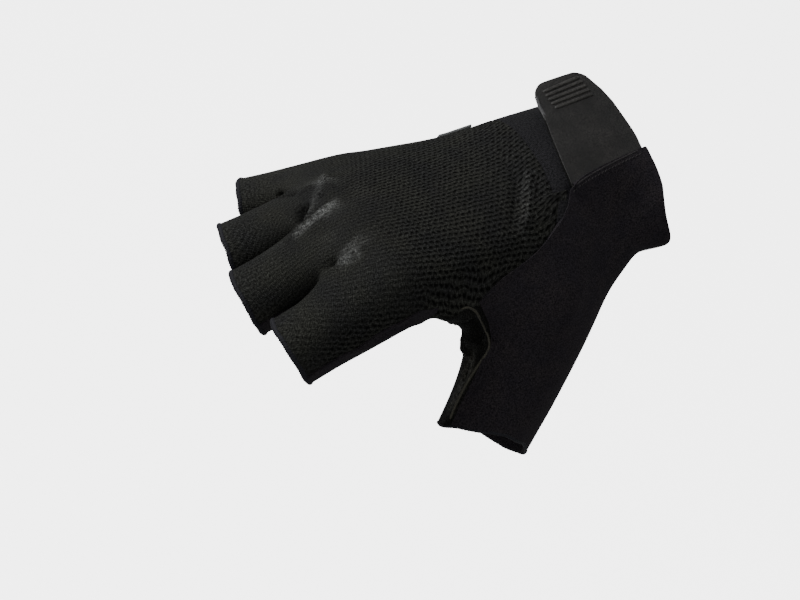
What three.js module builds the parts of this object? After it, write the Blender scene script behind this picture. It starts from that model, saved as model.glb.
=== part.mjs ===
// A short-finger cycling glove for a right hand, shown as it is worn: knit back, suede palm, finger
// undersides and thumb, stretch cuff, and a moulded closure tab across the back of the wrist.
//
// Millimetres. The origin is the centre of the cuff opening. +X leaves the opening towards the
// elbow, so the fingers point to -X. +Z is the back of the hand, and the thumb is on the -Y side.
import * as THREE from "three";

// Driving sizes, in millimetres
const KNIT_WALL = 1.3; // back panel and gusset
const SUEDE_WALL = 1.5; // palm, finger undersides and thumb
const CUFF_WALL = 1.4; // smooth stretch band under the tab
const SEAM_GAP = 0.3; // clearance between neighbouring panels
const PALM_LENGTH = 95; // cuff opening to the middle knuckle
const WRIST_WIDTH = 62; // outside of the cuff, thumb side to little-finger side
const WRIST_DEPTH = 41; // outside of the cuff, back to palm
const FINGER_WIDTH = 22.6; // widest finger sleeve, outside; the knuckles are spaced by it
const THUMB_WIDTH = 28; // thumb sleeve, outside
const THUMB_REACH = 66; // from the thumb's root to its opening
const HEM_LENGTH = 2.2; // bound edge of a sleeve, along the finger
const HEM_WALL = 2.1;
const HEM_PROUD = 0.35; // by which a hem stands out from its sleeve
const HEM_ROUND = 0.25; // how far a hem's corners are rounded back
const TAB_WALL = 2.2; // moulded closure tab
const TAB_CURL = 5.2; // by which the tab's free end stands off the cuff
const HOOK_WALL = 1.0; // hook-and-loop strip under the tab
const STACK_GAP = 0.3; // clearance between cuff, strip and tab
const RIB_COUNT = 5; // grip ribs near the tab's free end
const RIB_PITCH = 2.1;
const RIB_HEIGHT = 0.7;
const RIB_LENGTH = 11.5;
const LABEL_LENGTH = 11; // plain plate on the back
const LABEL_WIDTH = 8;
const LABEL_WALL = 0.9;
const LABEL_STAND = 0.6; // clearance that takes up the curve under the plate

const RAD = Math.PI / 180;
const vec = (x, y, z) => new THREE.Vector3(x, y, z);
const mean = (...points) => points.reduce((sum, p) => sum.add(p), vec(0, 0, 0)).divideScalar(points.length);

// A closed ring of n control points smooths to a smaller ring; this is how much larger it starts.
const ringGrowth = (n) => 3 / (2 + Math.cos((2 * Math.PI) / n));

// Sections of the palm. x is a share of PALM_LENGTH, y and width of half WRIST_WIDTH, z, back and
// palm of half WRIST_DEPTH. yaw and roll turn the section by degrees.
const PALM_SECTIONS = [
  { x: 0, y: 0, z: 0, width: 1, back: 0.98, palm: 1.02, yaw: 8.5, roll: 0 },
  { x: -0.11, y: 0, z: 0, width: 0.97, back: 0.94, palm: 1, yaw: 7.5, roll: 0 },
  { x: -0.22, y: 0, z: 0, width: 0.96, back: 0.91, palm: 0.98, yaw: 6, roll: 0 },
  { x: -0.33, y: 0, z: 0, width: 0.97, back: 0.87, palm: 0.95, yaw: 5, roll: 1 },
  { x: -0.4, y: 0, z: 0, width: 0.99, back: 0.84, palm: 0.93, yaw: 5, roll: 2 },
  { x: -0.56, y: 0.01, z: -0.05, width: 1.04, back: 0.76, palm: 0.87, yaw: 5, roll: 5 },
  { x: -0.72, y: 0.03, z: -0.05, width: 1.13, back: 0.72, palm: 0.8, yaw: 8, roll: 6 },
  { x: -0.87, y: 0.04, z: -0.05, width: 1.22, back: 0.7, palm: 0.78, yaw: 12, roll: 6.5 },
];
// Where the seams cross each section, in degrees from its little-finger side over the back: the
// thumb-side edge of the back, the palm edge of the thumb's root, and the little-finger seam
const PALM_SEAMS = [
  { seam: 113, thenar: 205, rear: -8 },
  { seam: 115, thenar: 214, rear: -8 },
  { seam: 118, thenar: 226, rear: -8 },
  { seam: 128, thenar: 232, rear: -8 },
  { seam: 146, thenar: 236, rear: -8 },
  { seam: 173, thenar: 240, rear: -8 },
  { seam: 188, thenar: 243, rear: -6 },
  { seam: 188, thenar: 238, rear: -4 },
];
const SECTION_POWER = 2.3; // 2 is an ellipse, more is squarer

// Fingers from the little finger to the index. x is a share of PALM_LENGTH, y of FINGER_WIDTH,
// z of half WRIST_DEPTH: the knuckle. splay and bend are degrees, reach is knuckle to sleeve end in
// shares of PALM_LENGTH, and width is a share of FINGER_WIDTH.
const FINGERS = [
  { name: "little", x: -0.84, y: 1.46, z: -0.41, splay: 26, bend: 19, reach: 0.385, width: 0.84 },
  { name: "ring", x: -0.94, y: 0.69, z: -0.03, splay: 12.5, bend: 22.5, reach: 0.44, width: 0.93 },
  { name: "middle", x: -1.01, y: -0.19, z: 0.14, splay: 8, bend: 27, reach: 0.435, width: 0.96 },
  { name: "index", x: -0.99, y: -1.24, z: 0.19, splay: 5.5, bend: 28, reach: 0.43, width: 0.97 },
];
const KNUCKLE_SWELL = 1.12; // knuckle section over sleeve section
const KNUCKLE_RISE = 0.1; // fill between two knuckles, in half sleeve widths
const WEB_SWELL = 1.04;
const WEB_BACK = 0.15; // finger crotch from the knuckle, on the back, as a share of PALM_LENGTH
const WEB_MIDDLE = 0.21;
const WEB_PALM = 0.25;
const WEB_RISE = 0.25; // how far the stretched web stands above a plain valley, in half sleeve widths
const SLEEVE_STATIONS = [0.36, 0.7, 1.0]; // shares of the way from the web to the sleeve end
const INDEX_SEAM_TURN = 12; // degrees that the index finger's outer seam lies towards the palm

// Thumb sections along its axis. reach is a share of THUMB_REACH from the root. Shares of
// THUMB_WIDTH: width, depth, shift towards the index finger, lean towards the back of the hand, and
// tilt, by which the side at the index finger is further along than the middle. The gusset spans
// seam degrees either way from that side. THUMB_ROOT has shares of PALM_LENGTH, WRIST_WIDTH and
// half WRIST_DEPTH.
const THUMB_ROOT = { x: -0.3, y: -0.42, z: -0.5 };
const THUMB_SECTIONS = [
  { reach: 0.25, width: 1.46, depth: 1.06, shift: 0.286, lean: 0.036, tilt: 0.714, seam: 56 },
  { reach: 0.43, width: 1.22, depth: 0.97, shift: 0.21, lean: 0.018, tilt: 0.5, seam: 44 },
  { reach: 0.7, width: 1.12, depth: 0.92, shift: 0.157, lean: 0, tilt: 0.286, seam: 36 },
  { reach: 0.93, width: 1.08, depth: 0.92, shift: 0.164, lean: 0, tilt: 0.11, seam: 34 },
];
const THUMB_SPLAY = 30; // degrees out to the side
const THUMB_DROP = 42; // degrees down towards the palm

// Point of a palm section at an angle, from the little-finger side (0) over the back (90).
function sectionPoint(section, angle, lift = 0) {
  const c = Math.cos(angle * RAD);
  const s = Math.sin(angle * RAD);
  const halfWidth = (section.width * WRIST_WIDTH) / 2;
  const halfDepth = ((s > 0 ? section.back : section.palm) * WRIST_DEPTH) / 2;
  const across = Math.sign(c) * halfWidth * Math.abs(c) ** (2 / SECTION_POWER);
  const up = Math.sign(s) * halfDepth * Math.abs(s) ** (2 / SECTION_POWER);
  const out = new THREE.Vector2(across / halfWidth ** 2, up / halfDepth ** 2).normalize();
  const local = vec(0, across + out.x * lift, up + out.y * lift);
  local.applyAxisAngle(vec(1, 0, 0), -section.roll * RAD);
  local.applyAxisAngle(vec(0, 0, 1), -section.yaw * RAD);
  const { x, y, z } = section;
  return local.add(vec(x * PALM_LENGTH, (y * WRIST_WIDTH) / 2, (z * WRIST_DEPTH) / 2));
}

// Directions of a finger: along it, towards the little-finger side, and out of its back.
function fingerFrame({ x, y, z, splay, bend }) {
  const along = vec(
    -Math.cos(splay * RAD) * Math.cos(bend * RAD),
    Math.sin(splay * RAD) * Math.cos(bend * RAD),
    -Math.sin(bend * RAD),
  );
  const back = vec(0, 0, 1).addScaledVector(along, -along.z).normalize();
  const side = along.clone().cross(back).normalize();
  const knuckle = vec(x * PALM_LENGTH, y * FINGER_WIDTH, (z * WRIST_DEPTH) / 2);
  return { knuckle, along, side, back };
}

function fingerPoint(finger, distance, angle, swell = 1) {
  const frame = fingerFrame(finger);
  const r = ((finger.width * FINGER_WIDTH) / 2) * ringGrowth(8) * swell;
  return frame.knuckle
    .clone()
    .addScaledVector(frame.along, distance)
    .addScaledVector(frame.side, r * Math.cos(angle * RAD))
    .addScaledVector(frame.back, r * Math.sin(angle * RAD));
}

// The control cage: points, and faces of four corners with the panel that each belongs to.
const cage = { points: [], faces: [] };
const addPoint = (p) => cage.points.push(p) - 1;
const addFace = (panel, ...corners) => cage.faces.push({ panel, corners });

const BACK_POINTS = 9; // between the two side seams, over the back
const RING_POINTS = 2 * BACK_POINTS + 2;
const THUMB_FACES = 4; // faces across the thumb's root, from the thumb-side seam round to the palm

function palmRing(section, row) {
  const angles = [];
  const { seam, thenar, rear } = PALM_SEAMS[row];
  const grow = ringGrowth(RING_POINTS);
  const grown = { ...section, width: section.width * grow };
  grown.back *= grow;
  grown.palm *= grow;
  const span = BACK_POINTS + 1;
  for (let k = 1; k <= span; k++) angles.push(rear + ((seam - rear) * k) / span);
  for (let k = 1; k <= THUMB_FACES; k++) angles.push(seam + ((thenar - seam) * k) / THUMB_FACES);
  const rest = span - THUMB_FACES;
  for (let k = 1; k <= rest; k++) angles.push(thenar + ((rear + 360 - thenar) * k) / rest);
  return angles.map((angle) => addPoint(sectionPoint(grown, angle)));
}

// Knuckle ring and web ring: the four finger roots side by side, sharing the points between them.
const CORNER_ANGLES = { backRear: 48, back: 90, backFront: 132, palmFront: 228, palm: 270, palmRear: 312 };
function rootRing(distances, swell, rise) {
  const a = CORNER_ANGLES;
  const shared = (i, rearAngle, frontAngle, distance, lift) => {
    const low = FINGERS[i - 1] && fingerPoint(FINGERS[i - 1], distance, frontAngle, swell);
    const high = FINGERS[i] && fingerPoint(FINGERS[i], distance, rearAngle, swell);
    if (!low) return high;
    if (!high) return low;
    const lifted = ((lift * FINGER_WIDTH) / 2) * (FINGERS[i].width + FINGERS[i - 1].width) * 0.5;
    return mean(low, high).addScaledVector(fingerFrame(FINGERS[i]).back, lifted);
  };
  const backs = [];
  const palms = [];
  FINGERS.forEach((finger, i) => {
    backs.push(shared(i, a.backRear, a.backFront, distances.back, rise));
    backs.push(fingerPoint(finger, distances.back, a.back, swell));
    palms.push(shared(i, a.palmRear, a.palmFront, distances.palm, 0));
    palms.push(fingerPoint(finger, distances.palm, a.palm, swell));
  });
  backs.push(shared(FINGERS.length, a.backRear, a.backFront, distances.back, 0));
  palms.push(shared(FINGERS.length, a.palmRear, a.palmFront, distances.palm, 0));
  const rear = fingerPoint(FINGERS[0], distances.middle, 0, swell);
  const front = fingerPoint(FINGERS[FINGERS.length - 1], distances.middle, 180 + INDEX_SEAM_TURN, swell);
  const webs = FINGERS.slice(1).map((_, i) => shared(i + 1, 0, 180, distances.middle, 0));
  return { ring: [...backs, front, ...palms.reverse(), rear].map(addPoint), webs };
}

const FRONT = BACK_POINTS; // index of the thumb-side seam in a ring
const REAR = RING_POINTS - 1;
const rings = PALM_SECTIONS.map(palmRing);
const flat = (distance) => ({ back: distance, middle: distance, palm: distance });
rings.push(rootRing(flat(0), KNUCKLE_SWELL, KNUCKLE_RISE).ring);
const webDistances = {
  back: WEB_BACK * PALM_LENGTH,
  middle: WEB_MIDDLE * PALM_LENGTH,
  palm: WEB_PALM * PALM_LENGTH,
};
const web = rootRing(webDistances, WEB_SWELL, WEB_RISE);
rings.push(web.ring);
const webMiddles = web.webs.map(addPoint);

// Rings and sides that the thumb leaves from, and where the cuff ends and the knit back starts
const THUMB_RINGS = [1, 7];
const THUMB_SIDES = [FRONT, FRONT + THUMB_FACES];
const CUFF_RINGS = 4;

for (let row = 0; row + 1 < rings.length; row++)
  for (let k = 0; k < RING_POINTS; k++) {
    const next = (k + 1) % RING_POINTS;
    const onPalm = k >= FRONT && k < REAR;
    const inThumb = k >= THUMB_SIDES[0] && k < THUMB_SIDES[1];
    if (inThumb && row >= THUMB_RINGS[0] && row < THUMB_RINGS[1]) continue;
    let panel = row < CUFF_RINGS ? "cuff_band" : "back_panel";
    if (onPalm) panel = "palm_panel";
    addFace(panel, rings[row][k], rings[row + 1][k], rings[row + 1][next], rings[row][next]);
  }

// Fingers: eight points round, from the little-finger side of the back
const FINGER_ANGLES = [45, 90, 135, 180, 225, 270, 315, 360];
const fingerEnds = [];
FINGERS.forEach((finger, i) => {
  const last = FINGERS.length - 1;
  const palmAt = (n) => web.ring[FRONT + BACK_POINTS - n];
  let previous = [
    web.ring[2 * i],
    web.ring[2 * i + 1],
    web.ring[2 * i + 2],
    i === last ? web.ring[FRONT] : webMiddles[i],
    palmAt(2 * i + 2),
    palmAt(2 * i + 1),
    palmAt(2 * i),
    i === 0 ? web.ring[REAR] : webMiddles[i - 1],
  ];
  const under = `under_${finger.name}`;
  const panels = ["back_panel", "back_panel", "back_panel", under, under, under, under, "back_panel"];
  const start = WEB_PALM * PALM_LENGTH;
  const end = finger.reach * PALM_LENGTH - HEM_LENGTH - SEAM_GAP;
  for (const share of SLEEVE_STATIONS) {
    const seamTurn = i === last ? INDEX_SEAM_TURN : 0;
    const next = FINGER_ANGLES.map((angle, k) =>
      addPoint(fingerPoint(finger, start + (end - start) * share, angle + (k === 3 ? seamTurn : 0))),
    );
    panels.forEach((panel, k) => {
      const n = (k + 1) % panels.length;
      addFace(panel, previous[k], next[k], next[n], previous[n]);
    });
    previous = next;
  }
  fingerEnds.push({ name: finger.name, ring: previous, along: fingerFrame(finger).along });
});

// Thumb: the points start on the edge of the hole left in the palm, on the cuff side of the seam
function thumbFrame() {
  const along = vec(
    -Math.cos(THUMB_SPLAY * RAD) * Math.cos(THUMB_DROP * RAD),
    -Math.sin(THUMB_SPLAY * RAD) * Math.cos(THUMB_DROP * RAD),
    -Math.sin(THUMB_DROP * RAD),
  );
  const inner = vec(-1, 0, 0).addScaledVector(along, along.x).normalize(); // faces the index finger
  const out = inner.clone().cross(along).normalize(); // faces the back of the hand
  return { along, inner, out };
}
const thumb = thumbFrame();
const [firstRing, lastRing] = THUMB_RINGS;
const [firstSide, lastSide] = THUMB_SIDES;
const thumbRoot = [];
for (let r = firstRing; r < lastRing; r++) thumbRoot.push(rings[r][firstSide]);
for (let k = firstSide; k < lastSide; k++) thumbRoot.push(rings[lastRing][k]);
for (let r = lastRing; r > firstRing; r--) thumbRoot.push(rings[r][lastSide]);
for (let k = lastSide; k > firstSide; k--) thumbRoot.push(rings[firstRing][k]);
const THUMB_POINTS = thumbRoot.length;
const GUSSET_FIRST = lastRing - firstRing - 1;
const GUSSET_FACES = lastSide - firstSide + 1;
// Angle of a thumb point from the side at the index finger: even steps inside and outside the gusset
function thumbAngle(j, seam) {
  const into = j - GUSSET_FIRST;
  if (into >= 0 && into <= GUSSET_FACES) return seam - (2 * seam * into) / GUSSET_FACES;
  const rest = (360 - 2 * seam) / (THUMB_POINTS - GUSSET_FACES);
  return into < 0 ? seam - into * rest : -seam - (into - GUSSET_FACES) * rest;
}
const HEEL_FIRST = GUSSET_FIRST + GUSSET_FACES + 2; // from here round, the points face the wrist
const thumbHeel = thumbRoot.slice(HEEL_FIRST);
let thumbRing = thumbRoot;
for (const { reach, width, depth, shift, lean, tilt, seam } of THUMB_SECTIONS) {
  const centre = vec(
    THUMB_ROOT.x * PALM_LENGTH,
    THUMB_ROOT.y * WRIST_WIDTH,
    (THUMB_ROOT.z * WRIST_DEPTH) / 2,
  )
    .addScaledVector(thumb.along, reach * THUMB_REACH)
    .addScaledVector(thumb.inner, shift * THUMB_WIDTH)
    .addScaledVector(thumb.out, lean * THUMB_WIDTH);
  const next = thumbRoot.map((_, j) => {
    const angle = thumbAngle(j, seam) * RAD;
    const grow = (ringGrowth(THUMB_POINTS) * THUMB_WIDTH) / 2;
    return addPoint(
      centre
        .clone()
        .addScaledVector(thumb.inner, width * grow * Math.cos(angle))
        .addScaledVector(thumb.along, tilt * THUMB_WIDTH * Math.cos(angle))
        .addScaledVector(thumb.out, depth * grow * Math.sin(angle)),
    );
  });
  next.forEach((_, j) => {
    const n = (j + 1) % THUMB_POINTS;
    const inGusset = j >= GUSSET_FIRST && j < GUSSET_FIRST + GUSSET_FACES;
    const panel = inGusset ? "thumb_gusset" : "thumb_panel";
    addFace(panel, thumbRing[j], thumbRing[n], next[n], next[j]);
  });
  if (thumbRing === thumbRoot) thumbHeel.push(...next.slice(HEEL_FIRST), ...next.slice(0, 2));
  thumbRing = next;
}
fingerEnds.push({ name: "thumb", ring: thumbRing, along: thumb.along });

// Ease the listed points towards the middle of their neighbours, which rounds off a hard join.
function ease({ points, faces }, indices, rounds) {
  const near = new Map(indices.map((i) => [i, new Set()]));
  for (const { corners } of faces)
    corners.forEach((a, k) => {
      const b = corners[(k + 1) % 4];
      near.get(a)?.add(b);
      near.get(b)?.add(a);
    });
  for (let round = 0; round < rounds; round++)
    for (const [i, others] of near) {
      const middle = mean(...[...others].map((j) => points[j]));
      points[i] = points[i].clone().lerp(middle, 0.5);
    }
}
ease(cage, thumbHeel, 4);

// One round of Catmull-Clark smoothing. Open edges smooth as curves of their own.
function smooth({ points, faces }) {
  const edges = new Map();
  const edgeKey = (a, b) => (a < b ? `${a}_${b}` : `${b}_${a}`);
  const faceCentres = faces.map(({ corners }) => mean(...corners.map((i) => points[i])));
  faces.forEach(({ corners }, f) =>
    corners.forEach((a, k) => {
      const b = corners[(k + 1) % corners.length];
      const key = edgeKey(a, b);
      if (!edges.has(key)) edges.set(key, { a, b, faces: [] });
      edges.get(key).faces.push(f);
    }),
  );
  const around = points.map(() => ({ edges: [], faces: [] }));
  for (const edge of edges.values()) {
    around[edge.a].edges.push(edge);
    around[edge.b].edges.push(edge);
  }
  faces.forEach(({ corners }, f) => corners.forEach((i) => around[i].faces.push(f)));
  const middle = (edge) => mean(points[edge.a], points[edge.b]);
  const moved = points.map((p, i) => {
    const open = around[i].edges.filter((edge) => edge.faces.length === 1);
    if (open.length) return mean(p, middle(open[0]), p, middle(open[1]));
    const n = around[i].edges.length;
    const f = mean(...around[i].faces.map((j) => faceCentres[j]));
    const m = mean(...around[i].edges.map(middle));
    return f.addScaledVector(m, 2).addScaledVector(p, n - 3).divideScalar(n);
  });
  const made = { points: moved, faces: [] };
  const centreIndex = faceCentres.map((p) => made.points.push(p) - 1);
  for (const edge of edges.values()) {
    const centres = edge.faces.map((f) => faceCentres[f]);
    const p = edge.faces.length === 1 ? middle(edge) : mean(points[edge.a], points[edge.b], ...centres);
    edge.index = made.points.push(p) - 1;
  }
  faces.forEach(({ panel, corners }, f) =>
    corners.forEach((a, k) => {
      const n = corners.length;
      const after = edges.get(edgeKey(a, corners[(k + 1) % n])).index;
      const before = edges.get(edgeKey(corners[(k + n - 1) % n], a)).index;
      made.faces.push({ panel, corners: [a, after, centreIndex[f], before] });
    }),
  );
  return made;
}

const skin = smooth(cage);

function faceNormal({ corners }, points) {
  const [a, b, c, d] = corners.map((i) => points[i]);
  return c.clone().sub(a).cross(d.clone().sub(b)).normalize();
}
function pointNormals({ points, faces }) {
  const normals = points.map(() => vec(0, 0, 0));
  for (const face of faces) {
    const n = faceNormal(face, points);
    for (const i of face.corners) normals[i].add(n);
  }
  return normals.map((n) => n.normalize());
}
// Directions for the wall: the normals, evened out between neighbours so that the wall keeps its
// shape in the tight bends between the fingers.
function evened(normals, { faces }, rounds) {
  let now = normals;
  for (let round = 0; round < rounds; round++) {
    const sum = now.map((n) => n.clone());
    for (const { corners } of faces)
      corners.forEach((a, k) => sum[a].add(now[corners[(k + 1) % corners.length]]));
    now = sum.map((n) => n.normalize());
  }
  return now;
}
const skinNormals = evened(pointNormals(skin), skin, 2);

function meshOf(name, positions, triangles, colour, roughness) {
  const geometry = new THREE.BufferGeometry();
  geometry.setAttribute("position", new THREE.Float32BufferAttribute(positions, 3));
  geometry.setIndex(triangles);
  geometry.computeVertexNormals();
  const material = new THREE.MeshStandardMaterial({ color: colour, roughness, metalness: 0 });
  const mesh = new THREE.Mesh(geometry, material);
  mesh.name = name;
  return mesh;
}

// A panel of cloth: its part of the skin, the same a wall's thickness inside, and the cut edges,
// which stand back from the neighbouring panel by half the seam gap.
function panelSolid(name, wall, colour, roughness) {
  const faces = skin.faces.filter((face) => face.panel === name);
  const edgeCount = new Map();
  for (const { corners } of faces)
    corners.forEach((a, k) => {
      const b = corners[(k + 1) % 4];
      edgeCount.set(`${a}_${b}`, [a, b]);
    });
  const rim = [...edgeCount.values()].filter(([a, b]) => !edgeCount.has(`${b}_${a}`));
  const used = [...new Set(faces.flatMap(({ corners }) => corners))];
  const index = new Map(used.map((i, n) => [i, n]));
  const inward = new Map();
  for (const [a, b] of rim)
    for (const i of [a, b]) {
      const edge = skin.points[b].clone().sub(skin.points[a]);
      const into = skinNormals[i].clone().cross(edge).normalize();
      inward.set(i, (inward.get(i) ?? vec(0, 0, 0)).add(into));
    }
  const outer = used.map((i) => {
    const p = skin.points[i].clone();
    return inward.has(i) ? p.addScaledVector(inward.get(i).normalize(), SEAM_GAP / 2) : p;
  });
  const inner = used.map((i, n) => outer[n].clone().addScaledVector(skinNormals[i], -wall));
  const triangles = [];
  const quad = (a, b, c, d) => triangles.push(a, b, c, a, c, d);
  const shift = used.length;
  for (const { corners } of faces) {
    const [a, b, c, d] = corners.map((i) => index.get(i));
    quad(a, b, c, d);
    quad(d + shift, c + shift, b + shift, a + shift);
  }
  for (const [a, b] of rim.map((pair) => pair.map((i) => index.get(i)))) quad(b, a, a + shift, b + shift);
  const positions = [...outer, ...inner].flatMap((p) => [p.x, p.y, p.z]);
  return meshOf(name, positions, triangles, colour, roughness);
}

// Runs along the open edges of the skin: the cuff opening and the five sleeve ends.
function openLoops({ faces }) {
  const directed = new Map();
  for (const { corners } of faces)
    corners.forEach((a, k) => directed.set(`${a}_${corners[(k + 1) % 4]}`, [a, corners[(k + 1) % 4]]));
  const after = new Map();
  for (const [a, b] of directed.values()) if (!directed.has(`${b}_${a}`)) after.set(b, a);
  const loops = [];
  while (after.size) {
    const loop = [];
    let at = after.keys().next().value;
    while (after.has(at)) {
      loop.push(at);
      const next = after.get(at);
      after.delete(at);
      at = next;
    }
    loops.push(loop);
  }
  return loops;
}

// A closed tube of cloth: a profile carried round a loop, given as [out, along] offsets.
function ringSolid(name, loop, along, profile, colour, roughness) {
  const centre = mean(...loop);
  const positions = [];
  for (const p of loop) {
    const out = p.clone().sub(centre);
    out.addScaledVector(along, -out.dot(along)).normalize();
    for (const [o, a] of profile) {
      const q = p.clone().addScaledVector(out, o).addScaledVector(along, a);
      positions.push(q.x, q.y, q.z);
    }
  }
  const triangles = [];
  const m = profile.length;
  loop.forEach((_, i) => {
    const n = (i + 1) % loop.length;
    for (let k = 0; k < m; k++) {
      const next = (k + 1) % m;
      const [a, b, c, d] = [i * m + k, i * m + next, n * m + next, n * m + k];
      triangles.push(a, b, c, a, c, d);
    }
  });
  return meshOf(name, positions, triangles, colour, roughness);
}

// A strip over the cuff. top and bottom give a point for shares (t, u) along and across it.
function stripSolid(name, ts, us, top, bottom, colour, roughness) {
  const positions = [];
  for (const face of [top, bottom])
    for (const t of ts)
      for (const u of us) {
        const p = face(t, u);
        positions.push(p.x, p.y, p.z);
      }
  const triangles = [];
  const quad = (a, b, c, d) => triangles.push(a, b, c, a, c, d);
  const [m, n] = [ts.length, us.length];
  const at = (i, j, below) => i * n + j + (below ? m * n : 0);
  for (let i = 0; i + 1 < m; i++)
    for (let j = 0; j + 1 < n; j++) {
      quad(at(i, j), at(i, j + 1), at(i + 1, j + 1), at(i + 1, j));
      quad(at(i + 1, j, 1), at(i + 1, j + 1, 1), at(i, j + 1, 1), at(i, j, 1));
    }
  for (let i = 0; i + 1 < m; i++) {
    quad(at(i, 0), at(i + 1, 0), at(i + 1, 0, 1), at(i, 0, 1));
    quad(at(i + 1, n - 1), at(i, n - 1), at(i, n - 1, 1), at(i + 1, n - 1, 1));
  }
  for (let j = 0; j + 1 < n; j++) {
    quad(at(0, j + 1), at(0, j), at(0, j, 1), at(0, j + 1, 1));
    quad(at(m - 1, j), at(m - 1, j + 1), at(m - 1, j + 1, 1), at(m - 1, j, 1));
  }
  return meshOf(name, positions, triangles, colour, roughness);
}

// Value of a table column at a share t of its length, in a smooth line through the rows.
function column(rows, key, t) {
  const at = Math.min(t * (rows.length - 1), rows.length - 1.000001);
  const i = Math.floor(at);
  const f = at - i;
  const pick = (j) => rows[Math.min(Math.max(j, 0), rows.length - 1)][key];
  const [p, a, b, q] = [pick(i - 1), pick(i), pick(i + 1), pick(i + 2)];
  return a + 0.5 * f * (b - p + f * (2 * p - 5 * a + 4 * b - q + f * (3 * (a - b) + q - p)));
}

// The cuff's section at a share x of PALM_LENGTH, between the rows of the table.
function sectionAt(x) {
  const next = PALM_SECTIONS.findIndex((row) => row.x <= x && row.x < 0);
  const [a, b] = [PALM_SECTIONS[next - 1], PALM_SECTIONS[next]];
  const f = (x - a.x) / (b.x - a.x);
  const keys = Object.keys(a);
  return Object.fromEntries(keys.map((key) => [key, a[key] + (b[key] - a[key]) * f]));
}

// Rows of the closure tab from its stitched root to its free end. toFingers and toElbow are its two
// edges as shares of PALM_LENGTH, the angles are round the wrist, and curl is a share of TAB_CURL.
const TAB_ROWS = [
  { toFingers: -0.35, angleFingers: 124.5, toElbow: -0.042, angleElbow: 112, stack: 0, curl: 0 },
  { toFingers: -0.342, angleFingers: 111, toElbow: -0.048, angleElbow: 104, stack: 0.5, curl: 0 },
  { toFingers: -0.33, angleFingers: 99, toElbow: -0.047, angleElbow: 96, stack: 1, curl: 0 },
  { toFingers: -0.315, angleFingers: 87, toElbow: -0.047, angleElbow: 87, stack: 1, curl: 0.06 },
  { toFingers: -0.299, angleFingers: 76, toElbow: -0.05, angleElbow: 78, stack: 1, curl: 0.19 },
  { toFingers: -0.282, angleFingers: 65, toElbow: -0.056, angleElbow: 68, stack: 1, curl: 0.42 },
  { toFingers: -0.268, angleFingers: 55, toElbow: -0.068, angleElbow: 59, stack: 1, curl: 0.73 },
  { toFingers: -0.244, angleFingers: 48.5, toElbow: -0.1, angleElbow: 52, stack: 1, curl: 1 },
];
const RIB_START = 0.775; // share of the tab's length at the rib nearest the root
const STRIP_SPAN = { from: 0.3, to: 0.86, fingers: 0.02, elbow: 0.95 }; // shares of the tab

function tabPoint(t, u, lift) {
  const pick = (key) => column(TAB_ROWS, key, t);
  const x = pick("toFingers") + (pick("toElbow") - pick("toFingers")) * u;
  const angle = pick("angleFingers") + (pick("angleElbow") - pick("angleFingers")) * u;
  const stack = STACK_GAP + pick("stack") * (HOOK_WALL + STACK_GAP);
  return sectionPoint(sectionAt(x), angle, stack + pick("curl") * TAB_CURL + lift);
}

const glove = new THREE.Group();
const KNIT = [0x1b1c1a, 0.85];
const SUEDE = [0x171416, 0.9];
const STRETCH = [0x15161c, 0.7];
const RUBBER = [0x202123, 0.6];
const GREY = [0x6d6f70, 0.5];
glove.add(panelSolid("back_panel", KNIT_WALL, ...KNIT));
glove.add(panelSolid("palm_panel", SUEDE_WALL, ...SUEDE));
for (const { name } of FINGERS) glove.add(panelSolid(`under_${name}`, SUEDE_WALL, ...SUEDE));
glove.add(panelSolid("thumb_panel", SUEDE_WALL, ...SUEDE));
glove.add(panelSolid("cuff_band", CUFF_WALL, ...STRETCH));
glove.add(panelSolid("thumb_gusset", KNIT_WALL, ...KNIT));

// Bound edges at the sleeve ends, rounded a little and just proud of the cloth
const hemInside = HEM_PROUD - HEM_WALL;
const hemProfile = [
  [HEM_PROUD - HEM_ROUND, SEAM_GAP],
  [hemInside + HEM_ROUND, SEAM_GAP],
  [hemInside, SEAM_GAP + HEM_LENGTH / 2],
  [hemInside + HEM_ROUND, SEAM_GAP + HEM_LENGTH],
  [HEM_PROUD - HEM_ROUND, SEAM_GAP + HEM_LENGTH],
  [HEM_PROUD, SEAM_GAP + HEM_LENGTH / 2],
];
const ringCentre = (ring) => mean(...ring.map((i) => cage.points[i]));
for (const loop of openLoops(skin)) {
  const points = loop.map((i) => skin.points[i]);
  const centre = mean(...points);
  const sleeve = fingerEnds.find(({ ring }) => ringCentre(ring).distanceTo(centre) < HEM_LENGTH);
  if (!sleeve) continue; // the cuff opening, which has no hem
  glove.add(ringSolid(`hem_${sleeve.name}`, points, sleeve.along, hemProfile, ...STRETCH));
}

// Closure: the hook strip on the cuff, and the moulded tab with its grip ribs
const steps = (from, to, n) => Array.from({ length: n + 1 }, (_, i) => from + ((to - from) * i) / n);
const hookTop = (t, u) => tabPoint(t, u, -STACK_GAP);
const hookBottom = (t, u) => tabPoint(t, u, -STACK_GAP - HOOK_WALL);
const stripAlong = steps(STRIP_SPAN.from, STRIP_SPAN.to, 9);
const stripAcross = steps(STRIP_SPAN.fingers, STRIP_SPAN.elbow, 6);
glove.add(stripSolid("hook_strip", stripAlong, stripAcross, hookTop, hookBottom, ...STRETCH));

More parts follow.
